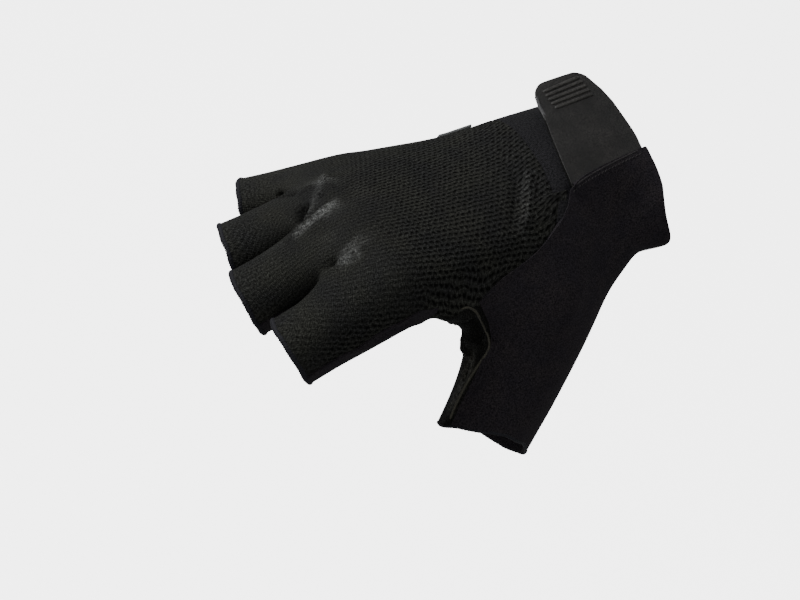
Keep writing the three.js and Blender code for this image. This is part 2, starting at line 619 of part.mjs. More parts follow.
const tabMiddle = [0, 0.25, 0.5, 0.75, 1].map((t) => tabPoint(t, 0.5, 0));
const tabLength = tabMiddle.slice(1).reduce((sum, p, i) => sum + p.distanceTo(tabMiddle[i]), 0);
const pitch = RIB_PITCH / tabLength;
const RIB_PROFILE = [
  { at: -0.3, height: 0 },
  { at: -0.15, height: 1 },
  { at: 0.15, height: 1 },
  { at: 0.3, height: 0 },
]; // across one rib, in pitches and shares of RIB_HEIGHT
const ribHeights = new Map();
for (let r = 0; r < RIB_COUNT; r++)
  for (const { at, height } of RIB_PROFILE) ribHeights.set(RIB_START + (r + at) * pitch, height);
const tabAlong = [...steps(0, RIB_START - 0.5 * pitch, 9), ...ribHeights.keys(), 1];
const ribTab = RIB_START + (RIB_COUNT / 2) * pitch;
const ribHalf = RIB_LENGTH / 2 / tabPoint(ribTab, 0, 0).distanceTo(tabPoint(ribTab, 1, 0));
const RIB_END = 0.03; // slope at a rib's ends, as a share of the tab's width
const ribAcross = [0.5 - ribHalf - RIB_END, 0.5 - ribHalf, 0.5 + ribHalf, 0.5 + ribHalf + RIB_END];
const TAB_BEVEL = { across: 0.06, drop: 0.25 }; // shares of its width and of TAB_WALL
const tabAcross = [0, TAB_BEVEL.across, ...ribAcross, 1 - TAB_BEVEL.across, 1];
const TAB_ROOT = { wall: 0.45, length: 0.25 }; // the root is thinner, as shares of wall and length
const tabTop = (t, u) => {
  const onRib = Math.abs(u - 0.5) < ribHalf + RIB_END / 2;
  const rib = onRib ? (ribHeights.get(t) ?? 0) * RIB_HEIGHT : 0;
  const bevel = u === 0 || u === 1 || t === 1 ? TAB_BEVEL.drop : 0;
  const taper = Math.min(1, TAB_ROOT.wall + ((1 - TAB_ROOT.wall) * t) / TAB_ROOT.length);
  return tabPoint(t, u, TAB_WALL * (1 - bevel) * taper + rib);
};
const tabBottom = (t, u) => tabPoint(t, u, 0);
glove.add(stripSolid("closure_tab", tabAlong, tabAcross, tabTop, tabBottom, ...RUBBER));

// Small plate on the little-finger edge of the back
const LABEL_AT = { x: -0.515, angle: 19 }; // centre, as a share of PALM_LENGTH and degrees
const labelPoint = (t, u, lift) => {
  const x = LABEL_AT.x + ((0.5 - u) * LABEL_LENGTH) / PALM_LENGTH;
  const reach = ((0.5 - t) * LABEL_WIDTH * 2) / WRIST_WIDTH / RAD;
  return sectionPoint(sectionAt(x), LABEL_AT.angle - reach, lift);
};
const labelTop = (t, u) => labelPoint(t, u, LABEL_STAND + LABEL_WALL);
const labelBottom = (t, u) => labelPoint(t, u, LABEL_STAND);
glove.add(stripSolid("back_label", steps(0, 1, 4), steps(0, 1, 4), labelTop, labelBottom, ...GREY));

export default glove;
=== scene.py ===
# %% [markdown]
# # A worn cycling glove
# This lesson dresses the solid model of a short-finger cycling glove: knit back, suede palm and
# thumb, a stretch cuff, bound edges and a moulded closure tab. The solid model is the fixed frame.
# Cloth is made from its own outer walls, so every piece sits where the solid piece sits.

# %% Load the frame
import math
from contextlib import contextmanager

import bpy
import numpy as np
from mathutils import Matrix, Vector, noise
from mathutils.bvhtree import BVHTree
from mathutils.kdtree import KDTree


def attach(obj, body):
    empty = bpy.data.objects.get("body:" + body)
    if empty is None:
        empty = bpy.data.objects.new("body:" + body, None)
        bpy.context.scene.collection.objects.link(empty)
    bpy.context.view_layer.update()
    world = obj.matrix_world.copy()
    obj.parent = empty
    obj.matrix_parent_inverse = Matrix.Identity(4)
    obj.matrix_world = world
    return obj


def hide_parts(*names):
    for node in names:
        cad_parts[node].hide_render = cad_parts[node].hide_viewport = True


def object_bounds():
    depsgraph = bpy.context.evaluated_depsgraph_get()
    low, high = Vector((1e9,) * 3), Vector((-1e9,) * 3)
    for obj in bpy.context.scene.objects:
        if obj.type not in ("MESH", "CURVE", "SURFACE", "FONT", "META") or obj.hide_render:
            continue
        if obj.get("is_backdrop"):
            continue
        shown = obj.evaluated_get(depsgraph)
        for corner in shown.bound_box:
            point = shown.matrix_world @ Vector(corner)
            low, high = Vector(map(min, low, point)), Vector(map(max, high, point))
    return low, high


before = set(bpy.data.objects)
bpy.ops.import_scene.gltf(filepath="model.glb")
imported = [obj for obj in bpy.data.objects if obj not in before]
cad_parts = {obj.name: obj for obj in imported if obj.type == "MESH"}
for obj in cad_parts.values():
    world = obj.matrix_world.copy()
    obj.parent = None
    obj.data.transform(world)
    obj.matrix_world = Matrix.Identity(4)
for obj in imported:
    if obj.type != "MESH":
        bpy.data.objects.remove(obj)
CAD_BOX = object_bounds()
MM = 0.001
print("CAD box in mm:", [[round(v / MM, 1) for v in corner] for corner in CAD_BOX])

# %% [markdown]
# ## The camera
# The glove is seen from above the thumb side. Three unit vectors give the camera's right, up and
# back directions in the glove's frame. Photograph pixels are used further on to place folds, so a
# small function turns a pixel into a ray: the camera's place and a direction.

# %% Camera
PICTURE = (800, 600)
FOCAL_PIXELS = 2520
CAMERA_AT = Vector((-0.392252, -0.515756, 0.484646))
CAMERA_RIGHT = Vector((0.88506115, -0.45855807, 0.07994529))
CAMERA_UP = Vector((0.24591688, 0.60646633, 0.75612398))
CAMERA_BACK = Vector((-0.39521088, -0.64955606, 0.64952697))


def pixel_ray(px, py):
    """Direction from the camera through a pixel of the photograph."""
    across = (px - PICTURE[0] / 2) / FOCAL_PIXELS
    up = (PICTURE[1] / 2 - py) / FOCAL_PIXELS
    return (CAMERA_RIGHT * across + CAMERA_UP * up - CAMERA_BACK).normalized()


lens_data = bpy.data.cameras.new("camera")
lens_data.sensor_width = 36
lens_data.lens = FOCAL_PIXELS / PICTURE[0] * lens_data.sensor_width
lens_data.clip_start, lens_data.clip_end = 0.05, 20
camera = bpy.data.objects.new("camera", lens_data)
bpy.context.scene.collection.objects.link(camera)
turn = Matrix((CAMERA_RIGHT, CAMERA_UP, CAMERA_BACK)).transposed()
camera.matrix_world = Matrix.Translation(CAMERA_AT) @ turn.to_4x4()
bpy.context.scene.camera = camera
print("lens:", round(lens_data.lens, 1), "mm")

# %% [markdown]
# ## Floor and light
# A worn glove is held up by the hand, so the floor lies well below it and catches no hard shadow.
# One wide softbox above lights the back of the hand, a weaker one fills from the camera side, and
# a pale world keeps the dark cloth readable.

# %% Floor and light
FLOOR_DROP = 0.35
FLOOR_SIZE = 12.0


def softbox(name, at, size, watts):
    """A square area light that faces the middle of the glove."""
    lamp = bpy.data.lights.new(name, "AREA")
    lamp.shape, lamp.size, lamp.energy = "SQUARE", size, watts
    holder = bpy.data.objects.new(name, lamp)
    bpy.context.scene.collection.objects.link(holder)
    holder.location = at
    middle = (CAD_BOX[0] + CAD_BOX[1]) / 2
    holder.rotation_mode = "QUATERNION"
    holder.rotation_quaternion = (middle - holder.location).to_track_quat("-Z", "Y")


softbox("key", (-0.55, 0.55, 0.85), 0.5, 15)
softbox("fill", (-0.75, -0.75, 0.45), 0.9, 5)
softbox("rim", (0.55, -0.15, 0.5), 0.6, 1.5)

world = bpy.data.worlds.new("studio")
world.use_nodes = True
world.node_tree.nodes["Background"].inputs["Color"].default_value = (0.93, 0.94, 0.95, 1)
world.node_tree.nodes["Background"].inputs["Strength"].default_value = 0.3
bpy.context.scene.world = world

bpy.ops.object.select_all(action="DESELECT")
bpy.ops.mesh.primitive_plane_add(size=FLOOR_SIZE, location=(0, 0, CAD_BOX[0].z - FLOOR_DROP))
floor = bpy.context.object
floor.name = "floor"
floor.visible_diffuse = floor.visible_glossy = False
floor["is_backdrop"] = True

# %% [markdown]
# ## Helpers for materials
# Each finish is a small node tree. A pattern that follows the cloth reads the UV map, which is the
# flat cut of the panel in millimetres, and grain that has no direction reads Object coordinates.

# %% Material helpers
class Finish:
    """A material under construction: short calls add nodes and link them."""

    def __init__(self, name, colour, roughness):
        self.material = bpy.data.materials.new(name)
        self.material.use_nodes = True
        self.tree = self.material.node_tree
        self.shader = self.tree.nodes["Principled BSDF"]
        self.shader.inputs["Base Color"].default_value = (*colour, 1)
        self.shader.inputs["Roughness"].default_value = roughness

    def set(self, **values):
        """Fill inputs of the shader with plain values or with the outputs of other nodes."""
        for name, value in values.items():
            socket = name.replace("_", " ").title().replace("Ior", "IOR")
            self.feed(self.shader.inputs[socket], value)

    def add(self, kind, settings=None, **inputs):
        made = self.tree.nodes.new(kind)
        for name, value in (settings or {}).items():
            setattr(made, name, value)
        for name, value in inputs.items():
            self.feed(made.inputs[name.replace("_", " ")], value)
        return made

    def feed(self, socket, value):
        if isinstance(value, bpy.types.NodeSocket):
            self.tree.links.new(value, socket)
        else:
            socket.default_value = value

    def maths(self, operation, a, b=0.0):
        made = self.add("ShaderNodeMath", {"operation": operation})
        self.feed(made.inputs[0], a)
        self.feed(made.inputs[1], b)
        return made.outputs[0]

    def times(self, a, b):
        return self.maths("MULTIPLY", a, b)

    def vector(self, operation, *values):
        made = self.add("ShaderNodeVectorMath", {"operation": operation})
        for socket, value in zip(made.inputs, values):
            self.feed(socket, value)
        return made.outputs["Value" if operation == "LENGTH" else "Vector"]

    def mix(self, share, a, b):
        made = self.add("ShaderNodeMix", {"data_type": "RGBA"})
        self.feed(made.inputs[0], share)
        for socket, value in ((made.inputs[6], a), (made.inputs[7], b)):
            self.feed(socket, value if isinstance(value, bpy.types.NodeSocket) else (*value, 1))
        return made.outputs[2]

    def uv_mm(self):
        """The flat cut in millimetres."""
        place = self.add("ShaderNodeUVMap", {"uv_map": "cut"}).outputs[0]
        return self.add("ShaderNodeMapping", Vector=place, Scale=(1 / MM,) * 3).outputs[0]

    def object_mm(self, stretch=(1, 1, 1)):
        place = self.add("ShaderNodeTexCoord")
        scale = tuple(s / MM for s in stretch)
        return self.add("ShaderNodeMapping", Vector=place.outputs["Object"], Scale=scale).outputs[0]

    def noise(self, where, scale, detail=2.0):
        made = self.add("ShaderNodeTexNoise", Vector=where, Scale=scale, Detail=detail)
        return made.outputs[0]

    def ramp(self, value, low, high, to_low=0.0, to_high=1.0):
        made = self.add("ShaderNodeMapRange", Value=value, To_Min=to_low, To_Max=to_high)
        made.inputs["From Min"].default_value = low
        made.inputs["From Max"].default_value = high
        return made.outputs[0]

    def cloud(self, where, scale, detail, low=0.35, high=0.65, to_low=0.0, to_high=1.0):
        """Noise whose low and high values are drawn out to two others."""
        return self.ramp(self.noise(where, scale, detail), low, high, to_low, to_high)

    def painted(self, name):
        """A value that is painted on the points of the piece."""
        return self.add("ShaderNodeAttribute", {"attribute_name": name}).outputs["Fac"]

    def bump(self, height, depth_mm, strength=1.0):
        made = self.add("ShaderNodeBump", Height=height, Distance=depth_mm * MM, Strength=strength)
        self.tree.links.new(made.outputs[0], self.shader.inputs["Normal"])


# %% Floor finish
pale = Finish("pale_floor", (0.8, 0.8, 0.8), 0.9)
pale.set(specular_ior_level=0.1, emission_color=(1, 1, 1, 1), emission_strength=4.0)
floor.data.materials.append(pale.material)
print("floor at", round(floor.location.z, 3), "m")

# %% [markdown]
# ## Knit with rows of holes
# The back is a mesh knit: rows of small slanted holes, each row half a step beside the last. The
# holes fade into a close knit towards the fingers, so a painted value named open scales them. Two
# lattices of ellipses, one shifted by half a cell, give the rows without any picture.

# %% Knit finishes
HOLE_STEP = 1.75  # mm from hole to hole in a row
HOLE_ROW = 1.55  # mm from row to row
HOLE_SIZE = (0.45, 0.22)  # half length and half width of a hole, mm
HOLE_SLANT = math.radians(14)
LOOP_STEP = (0.62, 0.46)  # mm, one loop of yarn
LOOP_SIZE = (0.34, 0.26)
LOOP_SLANT = 0.5


def lattice(finish, where, step, offset, radii, slant=0.0):
    """Distance from the nearest cell centre, where 1 is the rim of an ellipse of the radii."""
    cell = finish.vector("MULTIPLY_ADD", where, (1 / step[0], 1 / step[1], 0), offset)
    middle = finish.vector("SUBTRACT", finish.vector("FRACTION", cell), (0.5, 0.5, 0))
    real = finish.vector("MULTIPLY", middle, (*step, 0))
    turned = finish.add("ShaderNodeVectorRotate", {"rotation_type": "Z_AXIS"}, Vector=real, Angle=slant)
    return finish.vector("LENGTH", finish.vector("DIVIDE", turned.outputs[0], (*radii, 1)))


def wobbled(finish, where, scale, amount):
    """The same place, pushed about a little, so that rows aren't ruled lines."""
    push = finish.add("ShaderNodeTexNoise", Vector=where, Scale=scale, Detail=1.0).outputs["Color"]
    centred = finish.vector("SUBTRACT", push, (0.5, 0.5, 0.5))
    return finish.vector("MULTIPLY_ADD", centred, (amount, amount, 0), where)


def knit_finish(name, yarn, gap, tint, lift, holes=True):
    """Loops of yarn, dark in the gaps and holes; the lift lightens painted highlights and lighter strips."""
    cloth = Finish(name, yarn, 0.78)
    # plain values, two of which are fed from the shade further down
    cloth.set(sheen_weight=0.05, sheen_roughness=0.35, specular_ior_level=0.2)
    cloth.set(sheen_tint=(0.75, 0.78, 0.76, 1))
    cut = wobbled(cloth, cloth.uv_mm(), 0.45, 1.3)
    loops = lattice(cloth, cut, LOOP_STEP, (0, 0, 0), LOOP_SIZE, LOOP_SLANT)
    yarn_height = cloth.ramp(loops, 0.3, 1.25, 1.0, 0.0)
    colour = cloth.mix(cloth.cloud(cloth.object_mm(), 0.09, 3.0), yarn, tint)
    # painted highlight: where the attribute is painted, the colour is lifted towards lift times the yarn
    strip_and_highlight = cloth.times(cloth.painted("strip_and_highlight"), cloth.cloud(cut, 0.7, 3.0, 0.36, 0.62, 0.3, 1.15))
    colour = cloth.mix(strip_and_highlight, colour, tuple(lift * value for value in yarn))
    fleck = cloth.cloud(cut, 1.9, 3.0, 0.34, 0.66, 0.2, 1.0)
    shade = cloth.times(cloth.ramp(yarn_height, 0.0, 1.0, 0.5, 1.0), fleck)
    if holes:
        cell = (HOLE_STEP, 2 * HOLE_ROW)
        row_a = lattice(cloth, cut, cell, (0, 0, 0), HOLE_SIZE, HOLE_SLANT)
        row_b = lattice(cloth, cut, cell, (0.5, 0.5, 0), HOLE_SIZE, -HOLE_SLANT)
        near = cloth.maths("MINIMUM", row_a, row_b)
        open_share = cloth.painted("open")
        hole = cloth.times(cloth.ramp(near, 1.35, 0.8, 0.0, 0.85), cloth.ramp(open_share, 0.0, 0.8))
        knot = cloth.times(cloth.ramp(near, 2.4, 1.3), open_share)
        lump = cloth.ramp(near, 1.5, 2.8, 0.5, 1.0)
        lump = cloth.maths("MAXIMUM", lump, cloth.maths("SUBTRACT", 1.0, open_share))
        solid = cloth.maths("SUBTRACT", 1.0, hole)
        shade = cloth.times(cloth.times(shade, lump), solid)
        relief = cloth.maths("ADD", cloth.times(yarn_height, 0.35), cloth.times(knot, 0.6))
        height = cloth.times(relief, solid)
    else:
        height = cloth.times(yarn_height, 0.5)
    # the painted highlight also raises the specular level and the sheen
    shine = cloth.times(shade, cloth.ramp(strip_and_highlight, 0.0, 1.0, 0.26, 0.6))
    cloth.set(base_color=cloth.mix(shade, gap, colour), specular_ior_level=shine)
    cloth.set(sheen_weight=cloth.times(shine, 0.3))
    cloth.bump(height, 0.3, 0.9)
    return cloth.material


KNIT_TONES = ((0.0182, 0.0186, 0.0180), (0.0022, 0.0022, 0.0021), (0.0285, 0.0292, 0.0236))
# gusset tones: olive, and dark as painted shade of the hollow in the web of the thumb
GUSSET_SHADED_TONES = ((0.0042, 0.0040, 0.0032), (0.001, 0.001, 0.0008), (0.0060, 0.0057, 0.0046))
KNIT = knit_finish("mesh_knit", *KNIT_TONES, 14)
GUSSET_KNIT = knit_finish("gusset_knit", *GUSSET_SHADED_TONES, 13, holes=False)
print("knit finishes:", KNIT.name, GUSSET_KNIT.name)

# %% [markdown]
# ## Suede, stretch cloth, thread, rubber, hooks and plate
# Microfibre suede is a dense nap: matt, with soft patches where the nap lies another way. The cuff
# cloth is smooth with fine wales. Thread has a twist. The moulded tab has a fine spark-eroded grain.

# %% Other finishes
WALE_STEP = (0.5, 0.38)  # mm, one wale of the cuff cloth
WALE_SIZE = (0.26, 0.19)
WALE_SLANT = 0.6


def suede_finish():
    suede = Finish("suede_nap", (0.011, 0.009, 0.012), 0.92)
    suede.set(sheen_weight=0.03, sheen_roughness=0.5, specular_ior_level=0.1)
    suede.set(sheen_tint=(0.72, 0.66, 0.74, 1))
    place = suede.object_mm()
    nap = suede.cloud(place, 0.16, 4.0)
    fibre = suede.noise(place, 2.2, 4.0)
    colour = suede.mix(nap, (0.0160, 0.0138, 0.0172), (0.0212, 0.0178, 0.0194))
    shade = suede.ramp(fibre, 0.36, 0.64, 0.1, 1.0)
    suede.set(base_color=suede.mix(shade, (0.003, 0.0025, 0.0035), colour))
    suede.bump(suede.maths("ADD", fibre, suede.times(nap, 0.3)), 0.2, 0.8)
    return suede.material


def stretch_finish():
    cloth = Finish("stretch_cloth", (0.005, 0.005, 0.006), 0.65)
    cloth.set(sheen_weight=0.02, sheen_roughness=0.4, specular_ior_level=0.12)
    cut = cloth.uv_mm()
    wale = lattice(cloth, cut, WALE_STEP, (0, 0, 0), WALE_SIZE, WALE_SLANT)
    height = cloth.ramp(wale, 0.2, 1.3, 1.0, 0.0)
    soft = cloth.cloud(cloth.object_mm(), 0.12, 2.0)
    colour = cloth.mix(soft, (0.0078, 0.0076, 0.0094), (0.0112, 0.0108, 0.0130))
    grain = cloth.cloud(cut, 1.7, 3.0, 0.36, 0.64, 0.25, 1.0)
    shade = cloth.times(cloth.ramp(height, 0.0, 1.0, 0.6, 1.0), grain)
    cloth.set(specular_ior_level=cloth.times(grain, 0.2))
    cloth.set(base_color=cloth.mix(shade, (0.0018, 0.0018, 0.0022), colour))
    cloth.bump(height, 0.1, 0.7)
    return cloth.material


def thread_finish(name, dark, light):
    thread = Finish(name, dark, 0.7)
    thread.set(sheen_weight=0.06, sheen_roughness=0.4, specular_ior_level=0.2)
    fibre = thread.noise(thread.object_mm(), 5.0, 2.0)
    thread.set(base_color=thread.mix(thread.ramp(fibre, 0.35, 0.65), dark, light))
    thread.bump(fibre, 0.08, 0.8)
    return thread.material


def rubber_finish(name, darker, lighter):
    rubber = Finish(name, darker, 0.5)
    rubber.set(specular_ior_level=0.3)
    place = rubber.object_mm()
    grain = rubber.noise(place, 1.8, 3.0)
    share = rubber.times(rubber.cloud(place, 0.11, 3.0), rubber.ramp(grain, 0.36, 0.64))
    rubber.set(base_color=rubber.mix(share, darker, lighter))
    rubber.set(roughness=rubber.ramp(grain, 0.3, 0.7, 0.42, 0.62))
    rubber.bump(grain, 0.1, 0.8)
    return rubber.material


def hook_finish():
    tape = Finish("hook_tape", (0.012, 0.012, 0.013), 0.55)
    tape.set(specular_ior_level=0.4)
    weave = tape.noise(tape.object_mm(), 3.0, 1.0)
    share = tape.ramp(weave, 0.35, 0.65)
    tape.set(base_color=tape.mix(share, (0.008, 0.008, 0.009), (0.02, 0.02, 0.021)))
    tape.bump(weave, 0.12, 0.8)
    return tape.material


def plate_finish():
    plate = Finish("label_plate", (0.12, 0.125, 0.125), 0.4)
    plate.set(specular_ior_level=0.45)
    brushed = plate.noise(plate.object_mm((0.4, 3.0, 3.0)), 1.5, 2.0)
    soft = plate.cloud(plate.object_mm(), 0.3, 2.0, 0.3, 0.7)
    plate.set(base_color=plate.mix(soft, (0.10, 0.105, 0.105), (0.15, 0.155, 0.155)))
    plate.set(roughness=plate.ramp(brushed, 0.3, 0.7, 0.32, 0.5))
    plate.bump(brushed, 0.02, 0.4)
    return plate.material


SUEDE = suede_finish()
STRETCH = stretch_finish()
BINDING = thread_finish("binding_thread", (0.0030, 0.0030, 0.0048), (0.0085, 0.0085, 0.0125))
SEWING = thread_finish("sewing_thread", (0.007, 0.006, 0.007), (0.026, 0.023, 0.024))
PIPING = thread_finish("piping_cloth", (0.016, 0.015, 0.011), (0.048, 0.045, 0.034))
RUBBER = rubber_finish("moulded_rubber", (0.0030, 0.0028, 0.0026), (0.0140, 0.0127, 0.0115))
# the ribs' rubber is the tab's, made lighter as a painted highlight on the raised ribs
RIB_RUBBER_HIGHLIT = rubber_finish("rib_rubber", (0.013, 0.0124, 0.0116), (0.040, 0.0385, 0.0355))
HOOKS = hook_finish()
PLATE = plate_finish()
print("finishes:", len(bpy.data.materials))

# %% [markdown]
# ## Helpers for meshes
# Most pieces start as a copy of a solid's mesh, or as a plain grid or ring whose points are then
# led to their places. These helpers keep the small steps short: work in edit mode, apply a
# modifier, join pieces, and read or write all the points of a piece as one table.

# %% Mesh helpers
def only(piece):
    """Select one piece alone and make it active, in object mode."""
    active = bpy.context.view_layer.objects.active
    if active and active.mode != "OBJECT":
        bpy.ops.object.mode_set(mode="OBJECT")
    bpy.ops.object.select_all(action="DESELECT")
    piece.select_set(True)
    bpy.context.view_layer.objects.active = piece


@contextmanager
def editing(piece, choose="SELECT"):
    """Edit mode for some steps, with all of the piece chosen, none of it, or what was chosen."""
    only(piece)
    bpy.ops.object.mode_set(mode="EDIT")
    if choose:
        bpy.ops.mesh.select_all(action=choose)
    yield bpy.ops.mesh
    bpy.ops.object.mode_set(mode="OBJECT")


def drop_faces(piece, unwanted):
    """Delete each face that a test picks out."""
    with editing(piece, "DESELECT") as steps:
        steps.select_mode(type="FACE")
    for face in piece.data.polygons:
        face.select = unwanted(face)
    with editing(piece, None) as steps:
        steps.delete(type="FACE")


def select_edges(piece, chosen):
    """Select these edges alone, for the next steps in edit mode."""
    with editing(piece, "DESELECT") as steps:
        steps.select_mode(type="EDGE")
    piece.data.edges.foreach_set("select", np.asarray(chosen, bool))


def shape_by(piece, kind, **settings):
    """Put a modifier on a piece and apply it."""
    only(piece)
    made = piece.modifiers.new(kind, kind)
    for name, value in settings.items():
        setattr(made, name, value)
    bpy.ops.object.modifier_apply(modifier=made.name)


def smooth(piece, degrees):
    """Shade a piece smooth, except over edges sharper than this."""
    only(piece)
    bpy.ops.object.shade_smooth_by_angle(angle=math.radians(degrees))


def joined(pieces, name):
    only(pieces[0])
    for piece in pieces:
        piece.select_set(True)
    bpy.ops.object.join()
    pieces[0].name = name
    return pieces[0]


def node_copy(node, name):
    """A copy of a node's solid without its finish, with the points of its faces welded."""
    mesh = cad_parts[node].data.copy()
    mesh.materials.clear()
    piece = bpy.data.objects.new(name, mesh)
    bpy.context.scene.collection.objects.link(piece)
    only(piece)
    bpy.ops.mesh.customdata_custom_splitnormals_clear()
    with editing(piece) as steps:
        steps.remove_doubles(threshold=1e-6)
    return piece


def table_of(items, key, width, kind=np.float32):
    """A property of many items, with a row for each."""
    flat = np.zeros(len(items) * width, kind)
    items.foreach_get(key, flat)
    return flat.reshape(-1, width)


def coords(piece):
    return table_of(piece.data.vertices, "co", 3).astype(float)


def point_normals(piece):
    return table_of(piece.data.vertices, "normal", 3).astype(float)


def edge_table(piece):
    return table_of(piece.data.edges, "vertices", 2, np.int32)


def put(piece, place):
    piece.data.vertices.foreach_set("co", place.astype(np.float32).ravel())
    piece.data.update()


def finishes_beside(piece):
    """For each edge, by its two points, the finish of every face that it borders."""
    beside = {}
    for face in piece.data.polygons:
        for key in face.edge_keys:
            beside.setdefault(key, []).append(face.material_index)
    return beside


def nearest_in(places):
    """A tree that finds the row of the nearest place."""
    tree = KDTree(len(places))
    for row, place in enumerate(places):
        tree.insert(place, row)
    tree.balance()
    return tree


print("solid nodes:", len(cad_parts))

# %% [markdown]
# ## Cloth from the outer walls
# Each solid panel has an outer wall, an inner wall and a cut edge between them. The cut edge is the
# only place where an edge is exactly one wall thick, so those faces are easy to find. With them
# gone, the outer wall falls loose and is kept. Joined and welded, the panels become one skin.

# %% Take the outer walls
WALL = {"knit": 1.3 * MM, "suede": 1.5 * MM, "stretch": 1.4 * MM}
SUEDE_NODES = ("palm_panel", "under_little", "under_ring", "under_middle", "under_index", "thumb_panel")
PANELS = {
    "back_panel": (KNIT, WALL["knit"]),
    **{node: (SUEDE, WALL["suede"]) for node in SUEDE_NODES},
    "cuff_band": (STRETCH, WALL["stretch"]),
    "thumb_gusset": (GUSSET_KNIT, WALL["knit"]),
}
FINISHES = [KNIT, SUEDE, STRETCH, GUSSET_KNIT]
WELD = 0.35 * MM  # the panels are 0.3 mm apart


def outer_wall(node, finish, wall):
    """The outer wall of a panel's solid, with its finish."""
    piece = node_copy(node, "wall_" + node)
    for one in FINISHES:
        piece.data.materials.append(one)
    place, ends = coords(piece), edge_table(piece)
    length = np.linalg.norm(place[ends[:, 0]] - place[ends[:, 1]], axis=1)
    across_wall = {tuple(sorted(pair)) for pair in ends[abs(length - wall) < 2e-6].tolist()}
    drop_faces(piece, lambda face: any(tuple(sorted(key)) in across_wall for key in face.edge_keys))
    with editing(piece, None) as steps:
        steps.separate(type="LOOSE")
    halves = sorted(bpy.context.selected_objects, key=lambda o: sum(f.area for f in o.data.polygons))
    for inner in halves[:-1]:
        bpy.data.objects.remove(inner)
    faces = halves[-1].data.polygons
    faces.foreach_set("material_index", [FINISHES.index(finish)] * len(faces))
    return halves[-1]


skin = joined([outer_wall(node, *panel) for node, panel in PANELS.items()], "skin")
with editing(skin) as steps:
    steps.remove_doubles(threshold=WELD)
print("skin:", len(skin.data.vertices), "points,", len(skin.data.polygons), "triangles")

# %% [markdown]
# The triangles come from four-sided faces. In each of those one diagonal was added, between two
# points that have more than four neighbours, so dissolving just these edges brings back clean quads
# that smooth well.

# %% Back to quads
ends = edge_table(skin)
neighbours = np.bincount(ends.ravel(), minlength=len(skin.data.vertices))
select_edges(skin, (neighbours[ends] > 4).all(axis=1))
with editing(skin, None) as steps:
    steps.dissolve_edges(use_verts=False)
sides = [len(face.vertices) for face in skin.data.polygons]
print("skin faces:", len(sides), "of which quads:", sides.count(4))

# %% [markdown]
# ## The flat cut
# A glove is sewn from flat panels. Marking the borders between finishes as seams and unwrapping
# gives each panel's flat shape, as the cutter has it on the table. The cut is then scaled to real
# metres and turned so that U runs along the hand, which is how the rows of holes run.

# %% Unwrap and scale the cut
for layer in list(skin.data.uv_layers):
    skin.data.uv_layers.remove(layer)
skin.data.uv_layers.new(name="cut")
beside = finishes_beside(skin)
select_edges(skin, [len(set(beside[edge.key])) > 1 for edge in skin.data.edges])
with editing(skin, None) as steps:
    steps.mark_seam(clear=False)
    steps.select_all(action="SELECT")
    bpy.ops.uv.unwrap(method="ANGLE_BASED", margin=0.0)

flat_cut = {}  # finish name: (width, length, area) in metres
cut = table_of(skin.data.uv_layers["cut"].data, "uv", 2).astype(float)
corner_point = np.array([loop.vertex_index for loop in skin.data.loops])
place = coords(skin)
for index, finish in enumerate(FINISHES):
    faces = [face for face in skin.data.polygons if face.material_index == index]
    corners = np.concatenate([list(face.loop_indices) for face in faces])
    flat_area = 0.0
    for face in faces:
        u, v = cut[list(face.loop_indices)].T
        flat_area += abs(np.dot(u, np.roll(v, 1)) - np.dot(v, np.roll(u, 1))) / 2
    area = sum(face.area for face in faces)
    scaled = cut[corners] * math.sqrt(area / flat_area)
    table = np.column_stack([scaled, np.ones(len(scaled))])
    slope = np.linalg.lstsq(table, place[corner_point[corners], 0], rcond=None)[0]
    angle = -math.atan2(slope[1], slope[0])
    spin = np.array([[math.cos(angle), -math.sin(angle)], [math.sin(angle), math.cos(angle)]])
    turned = scaled @ spin.T
    turned -= turned.min(axis=0)
    cut[corners] = turned
    length, width = turned.max(axis=0)
    flat_cut[finish.name] = (float(width), float(length), area)
    print(finish.name, "cut", round(length / MM), "x", round(width / MM), "mm,", round(area / MM**2), "mm2")
skin.data.uv_layers["cut"].data.foreach_set("uv", cut.astype(np.float32).ravel())

# %% [markdown]
# ## Finer cloth
# Three rounds of subdivision give a point about every half millimetre, fine enough to model the
# small folds at the knuckles by moving points, as a sculptor would.

# %% Subdivide the skin
shape_by(skin, "SUBSURF", levels=3, render_levels=3)
print("fine skin:", len(skin.data.vertices), "points,", len(skin.data.polygons), "faces")

# %% [markdown]
# ## Folds
# Stretched over a hand, knit gathers where the fingers part. The folds are modelled by moving
# points: a stroke is a line over the cloth, laid down as pixels of the photograph and cast onto the
# skin, and all points near it rise or sink along their normals. A drag pulls a patch sideways in
# the picture plane, which flares an edge.

# %% Sculpting tools
to_picture = np.array([CAMERA_RIGHT, CAMERA_UP, CAMERA_BACK]).T


def picture_place(points):
    """Pixel column, pixel row and depth in metres of each point."""
    seen = (np.asarray(points) - np.array(CAMERA_AT)) @ to_picture
    depth = -seen[:, 2]
    across = PICTURE[0] / 2 + FOCAL_PIXELS * seen[:, 0] / depth
    down = PICTURE[1] / 2 - FOCAL_PIXELS * seen[:, 1] / depth
    return np.column_stack([across, down, depth])


def in_space(off, depth):
    """Moves in the picture, in pixels, as moves in metres at some depth."""
    off = np.asarray(off, float)
    return (off[..., :1] * to_picture[:, 0] - off[..., 1:] * to_picture[:, 1]) * depth / FOCAL_PIXELS


